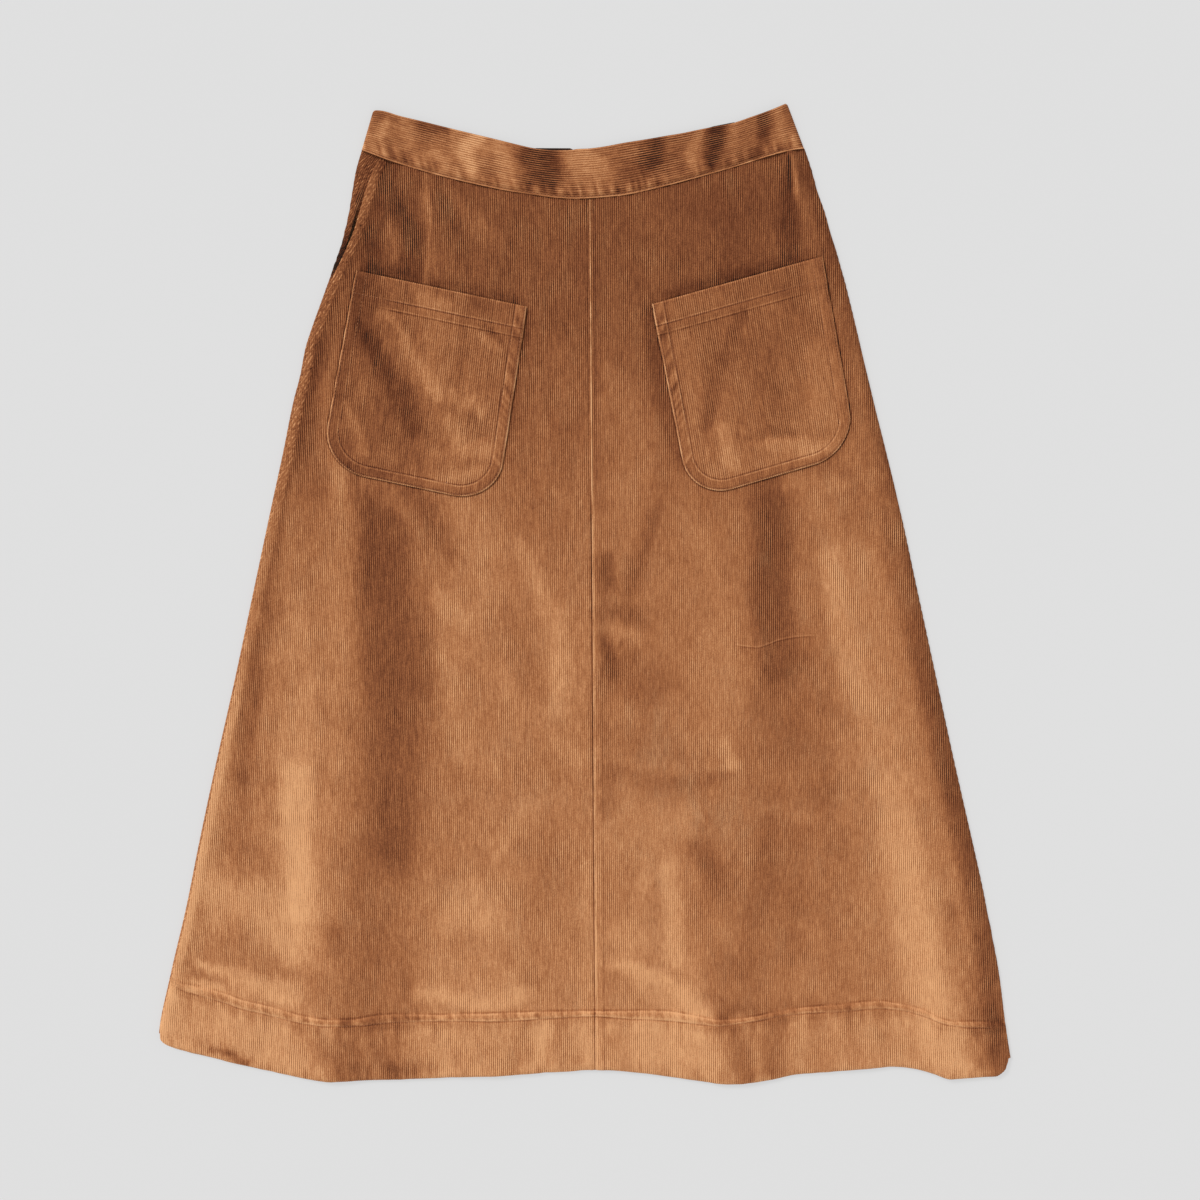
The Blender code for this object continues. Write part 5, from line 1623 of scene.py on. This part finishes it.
def corduroy(name, seed, depth=1.0, lines=BODY_EDGE_SHADOW, mouth_lines=BODY_MOUTH_SHADOW, lean=SIDE_LEAN):
    """Brushed cotton ribs: pile tone with painted light and shade, and painted shade down between the
    ribs.
    """
    n = Nodes(name)
    uv = n.node("UVMap")
    uv.uv_map = "cloth"
    place = n.node("VectorMath", uv.outputs[0], (0.0, seed * 3.7, seed * 1.3))
    place.operation = "ADD"
    cloth = place.outputs[0]
    told = {key: n.attribute(key) for key in USUAL}
    pile_light_and_shade, crush, rim, side = (told[key] for key in ("pile_light_and_shade", "crush", "rim", "side"))
    split = n.node("SeparateXYZ", uv.outputs[0])
    turn = n.times(split.outputs[0], 2 * math.pi / (PITCH * MM))
    crest = n.times(n.math("COSINE", turn), -1.0)  # -1 in a valley and 1 on a rib

    clouds = n.noise(cloth, (30, 11, 1), 3.0, 0.6)
    crushed = n.noise(cloth, (260, 170, 1), 3.0, 0.7)
    streaks = n.noise(cloth, (960, 80, 1), 2.0, 0.6)
    runs = n.noise(cloth, (560, 20, 1), 2.0, 0.5)
    fine = n.noise(cloth, (1300, 760, 1), 1.0)
    patches = n.noise(cloth, (62, 30, 1), 2.0)
    tone = n.sum(pile_light_and_shade, 0.06, n.times(clouds, 0.18))
    # the painted shade between the ribs shows best where the tone is dark, and least in between
    sharp = n.sum(
        0.24,
        n.times(n.math("MAXIMUM", n.math("SUBTRACT", 0.40, tone), 0.0), 0.50),
        n.times(n.math("MAXIMUM", n.math("SUBTRACT", tone, 0.60), 0.0), 0.10),
    )
    sharp = n.times(sharp, n.math("MAXIMUM", n.sum(1.0, n.times(patches, 1.8)), 0.2))
    open_ribs = n.math("SUBTRACT", 1.0, n.times(crush, 0.8))
    sharp = n.times(sharp, depth, open_ribs)
    # along the left-hand seam the strip's ribs run with the seam
    along = n.node("VectorRotate", Vector=cloth, Angle=lean)
    along.rotation_type = "Z_AXIS"
    leaning = n.noise(along.outputs[0], (820, 290, 1), 2.0, 0.6)
    across = n.node("SeparateXYZ", along.outputs[0])
    ticks = n.math("COSINE", n.times(across.outputs[0], 2 * math.pi / (TICK_PITCH * MM)))
    ticks = n.times(ticks, n.sum(n.times(leaning, 0.8), 0.12))
    leaning = n.sum(n.times(leaning, 0.8), ticks)
    strip = n.times(n.math("SUBTRACT", 0.5, side, clamp=True), told["ticked"])
    crest = n.times(crest, sharp)
    along_ribs = n.sum(n.times(streaks, 0.46), n.times(runs, 0.08))
    broken = n.sum(n.times(n.noise(cloth, (90, 90, 1), 1.0), 0.9), 0.9)
    drawn = n.sum(*(n.line(rim, *line) for line in lines))
    turned = n.sum(*(n.line(told["mouth"], *line) for line in mouth_lines))
    crease = n.sum(*(n.line(told["crease"], *line) for line in CREASE_LIGHT_AND_SHADE))
    tone = n.sum(
        tone,
        n.times(crushed, 0.18),
        n.mix(strip, along_ribs, leaning),
        n.times(fine, 0.34),
        n.mix(strip, crest, n.times(crest, 0.3)),
        # painted light and shade lines by the pockets' edges and mouths and along the fine crease
        n.times(drawn, broken, told["firm"]),
        n.times(turned, broken, told["turned"]),
        n.times(crease, told["creased"]),
        # painted shade along the inner edge of the left-hand seam's strip
        n.times(n.line(side, 0.3, 0.8, -0.10), told["ticked"]),
    )
    spread = n.sum(n.times(tone, TONE_SCALE), TONE_START)
    places = [s.tone * TONE_SCALE + TONE_START for s in SHADES]
    shades = n.ramp(spread, places, [s[1:] for s in SHADES])

    tufts = n.noise(cloth, (900, 420, 1), 2.0)
    fibre = n.noise(cloth, (3200, 2200, 1), 1.0)
    first = n.bump(tufts, 0.00035, 0.5)
    n.give({
        "Base Color": shades,
        "Normal": n.bump(fibre, 0.00012, 0.5, first),
        "Roughness": n.sum(n.times(streaks, 0.05), 0.82),
        "Specular IOR Level": 0.12,
        "Sheen Weight": 0.12,
        "Sheen Roughness": 0.45,
        "Sheen Tint": (1.0, 0.62, 0.35, 1),
    })
    return n.material


def thread(name):
    """Cotton thread in the cloth's own colour."""
    n = Nodes(name)
    where = n.node("TexCoord").outputs["Object"]
    tone = n.sum(n.times(n.noise(where, (300, 300, 300), 1.0), 0.5), 0.5)
    colour = n.ramp(tone, (0.0, 1.0), (SHADES[3][1:], SHADES[5][1:]))
    twist = n.noise(where, (2600, 2600, 2600), 1.0)
    n.give({"Base Color": colour, "Normal": n.bump(twist, 0.0001, 0.4), "Roughness": 0.7})
    return n.material


# ---------------------------------------------------------------- floor and light
FLOOR_DROP = 0.25
FLOOR_REACH = 6.0
FLOOR_GREYS = ((0.198, 0.198, 0.198), (0.202, 0.202, 0.202))
FLOOR_GLOW = 0.54  # lit from below, like a light table
SKY_STRENGTH = 0.55


def make_floor():
    data = bpy.data.meshes.new("floor")
    r, z = FLOOR_REACH, -FLOOR_DROP * MM
    data.from_pydata([(-r, -r, z), (r, -r, z), (r, r, z), (-r, r, z)], [], [(0, 1, 2, 3)])
    n = Nodes("floor_paint")
    where = n.node("TexCoord").outputs["Object"]
    share = n.sum(n.noise(where, (3, 3, 3)), 0.5)
    n.give({
        "Base Color": n.ramp(share, (0.0, 1.0), FLOOR_GREYS),
        "Emission Color": (1.0, 1.0, 1.0, 1),
        "Emission Strength": FLOOR_GLOW,
        "Roughness": 0.95,
        "Specular IOR Level": 0.1,
    })
    data.materials.append(n.material)
    floor = bpy.data.objects.new("floor", data)
    bpy.context.scene.collection.objects.link(floor)


def make_light():
    world = bpy.data.worlds.new("studio")
    world.use_nodes = True
    sky = world.node_tree.nodes["Background"]
    sky.inputs[0].default_value = (1.0, 1.0, 1.0, 1)
    sky.inputs[1].default_value = SKY_STRENGTH
    bpy.context.scene.world = world
    Lamp = namedtuple("Lamp", "name azimuth elevation strength angle")
    lamps = (
        Lamp("key", 128.0, 40.0, 1.85, 14.0),
        Lamp("fill", -60.0, 62.0, 0.25, 60.0),
    )
    for lamp in lamps:
        data = bpy.data.lights.new(lamp.name, "SUN")
        data.energy, data.angle = lamp.strength, math.radians(lamp.angle)
        made = bpy.data.objects.new(lamp.name, data)
        a, e = math.radians(lamp.azimuth), math.radians(lamp.elevation)
        towards = Vector((math.cos(a) * math.cos(e), math.sin(a) * math.cos(e), math.sin(e)))
        made.rotation_mode = "QUATERNION"
        made.rotation_quaternion = towards.to_track_quat("Z", "Y")
        bpy.context.scene.collection.objects.link(made)


# ---------------------------------------------------------------- the skirt
def main():
    bpy.context.scene.view_settings.view_transform = "Standard"
    make_camera()
    make_floor()
    make_light()

    body = corduroy("body_corduroy", 1)
    sewing = thread("thread")
    back_piece = back(corduroy("back_corduroy", 2, lean=-SIDE_LEAN))
    left_piece = left_half(body)
    right_piece = right_half(corduroy("right_corduroy", 3))
    band_piece = waistband(corduroy("band_corduroy", 4, 0.95))
    pockets = {}
    for k, spec in enumerate(POCKETS):
        cloth = corduroy(spec.name + "_corduroy", 5 + k, 1.0, POCKET_EDGE_LIGHT_AND_SHADE, MOUTH_LIGHT_AND_SHADE)
        pockets[spec.name] = pocket(spec, cloth)
    hem_thread = stitching("hem_stitching", [hem_line()], sewing)
    band_thread = stitching("waist_stitching", [band_line()], sewing)
    pocket_threads = {
        s.name: stitching(s.name + "_stitching", pocket_lines(s), sewing) for s in POCKETS
    }

    for piece, node in (
        (back_piece, "back_panel"),
        (left_piece, "front_panel_left"),
        (right_piece, "front_panel_right"),
        (band_piece, "waistband"),
        (pockets["pocket_left"], "pocket_left"),
        (pockets["pocket_right"], "pocket_right"),
    ):
        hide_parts(node)


main()
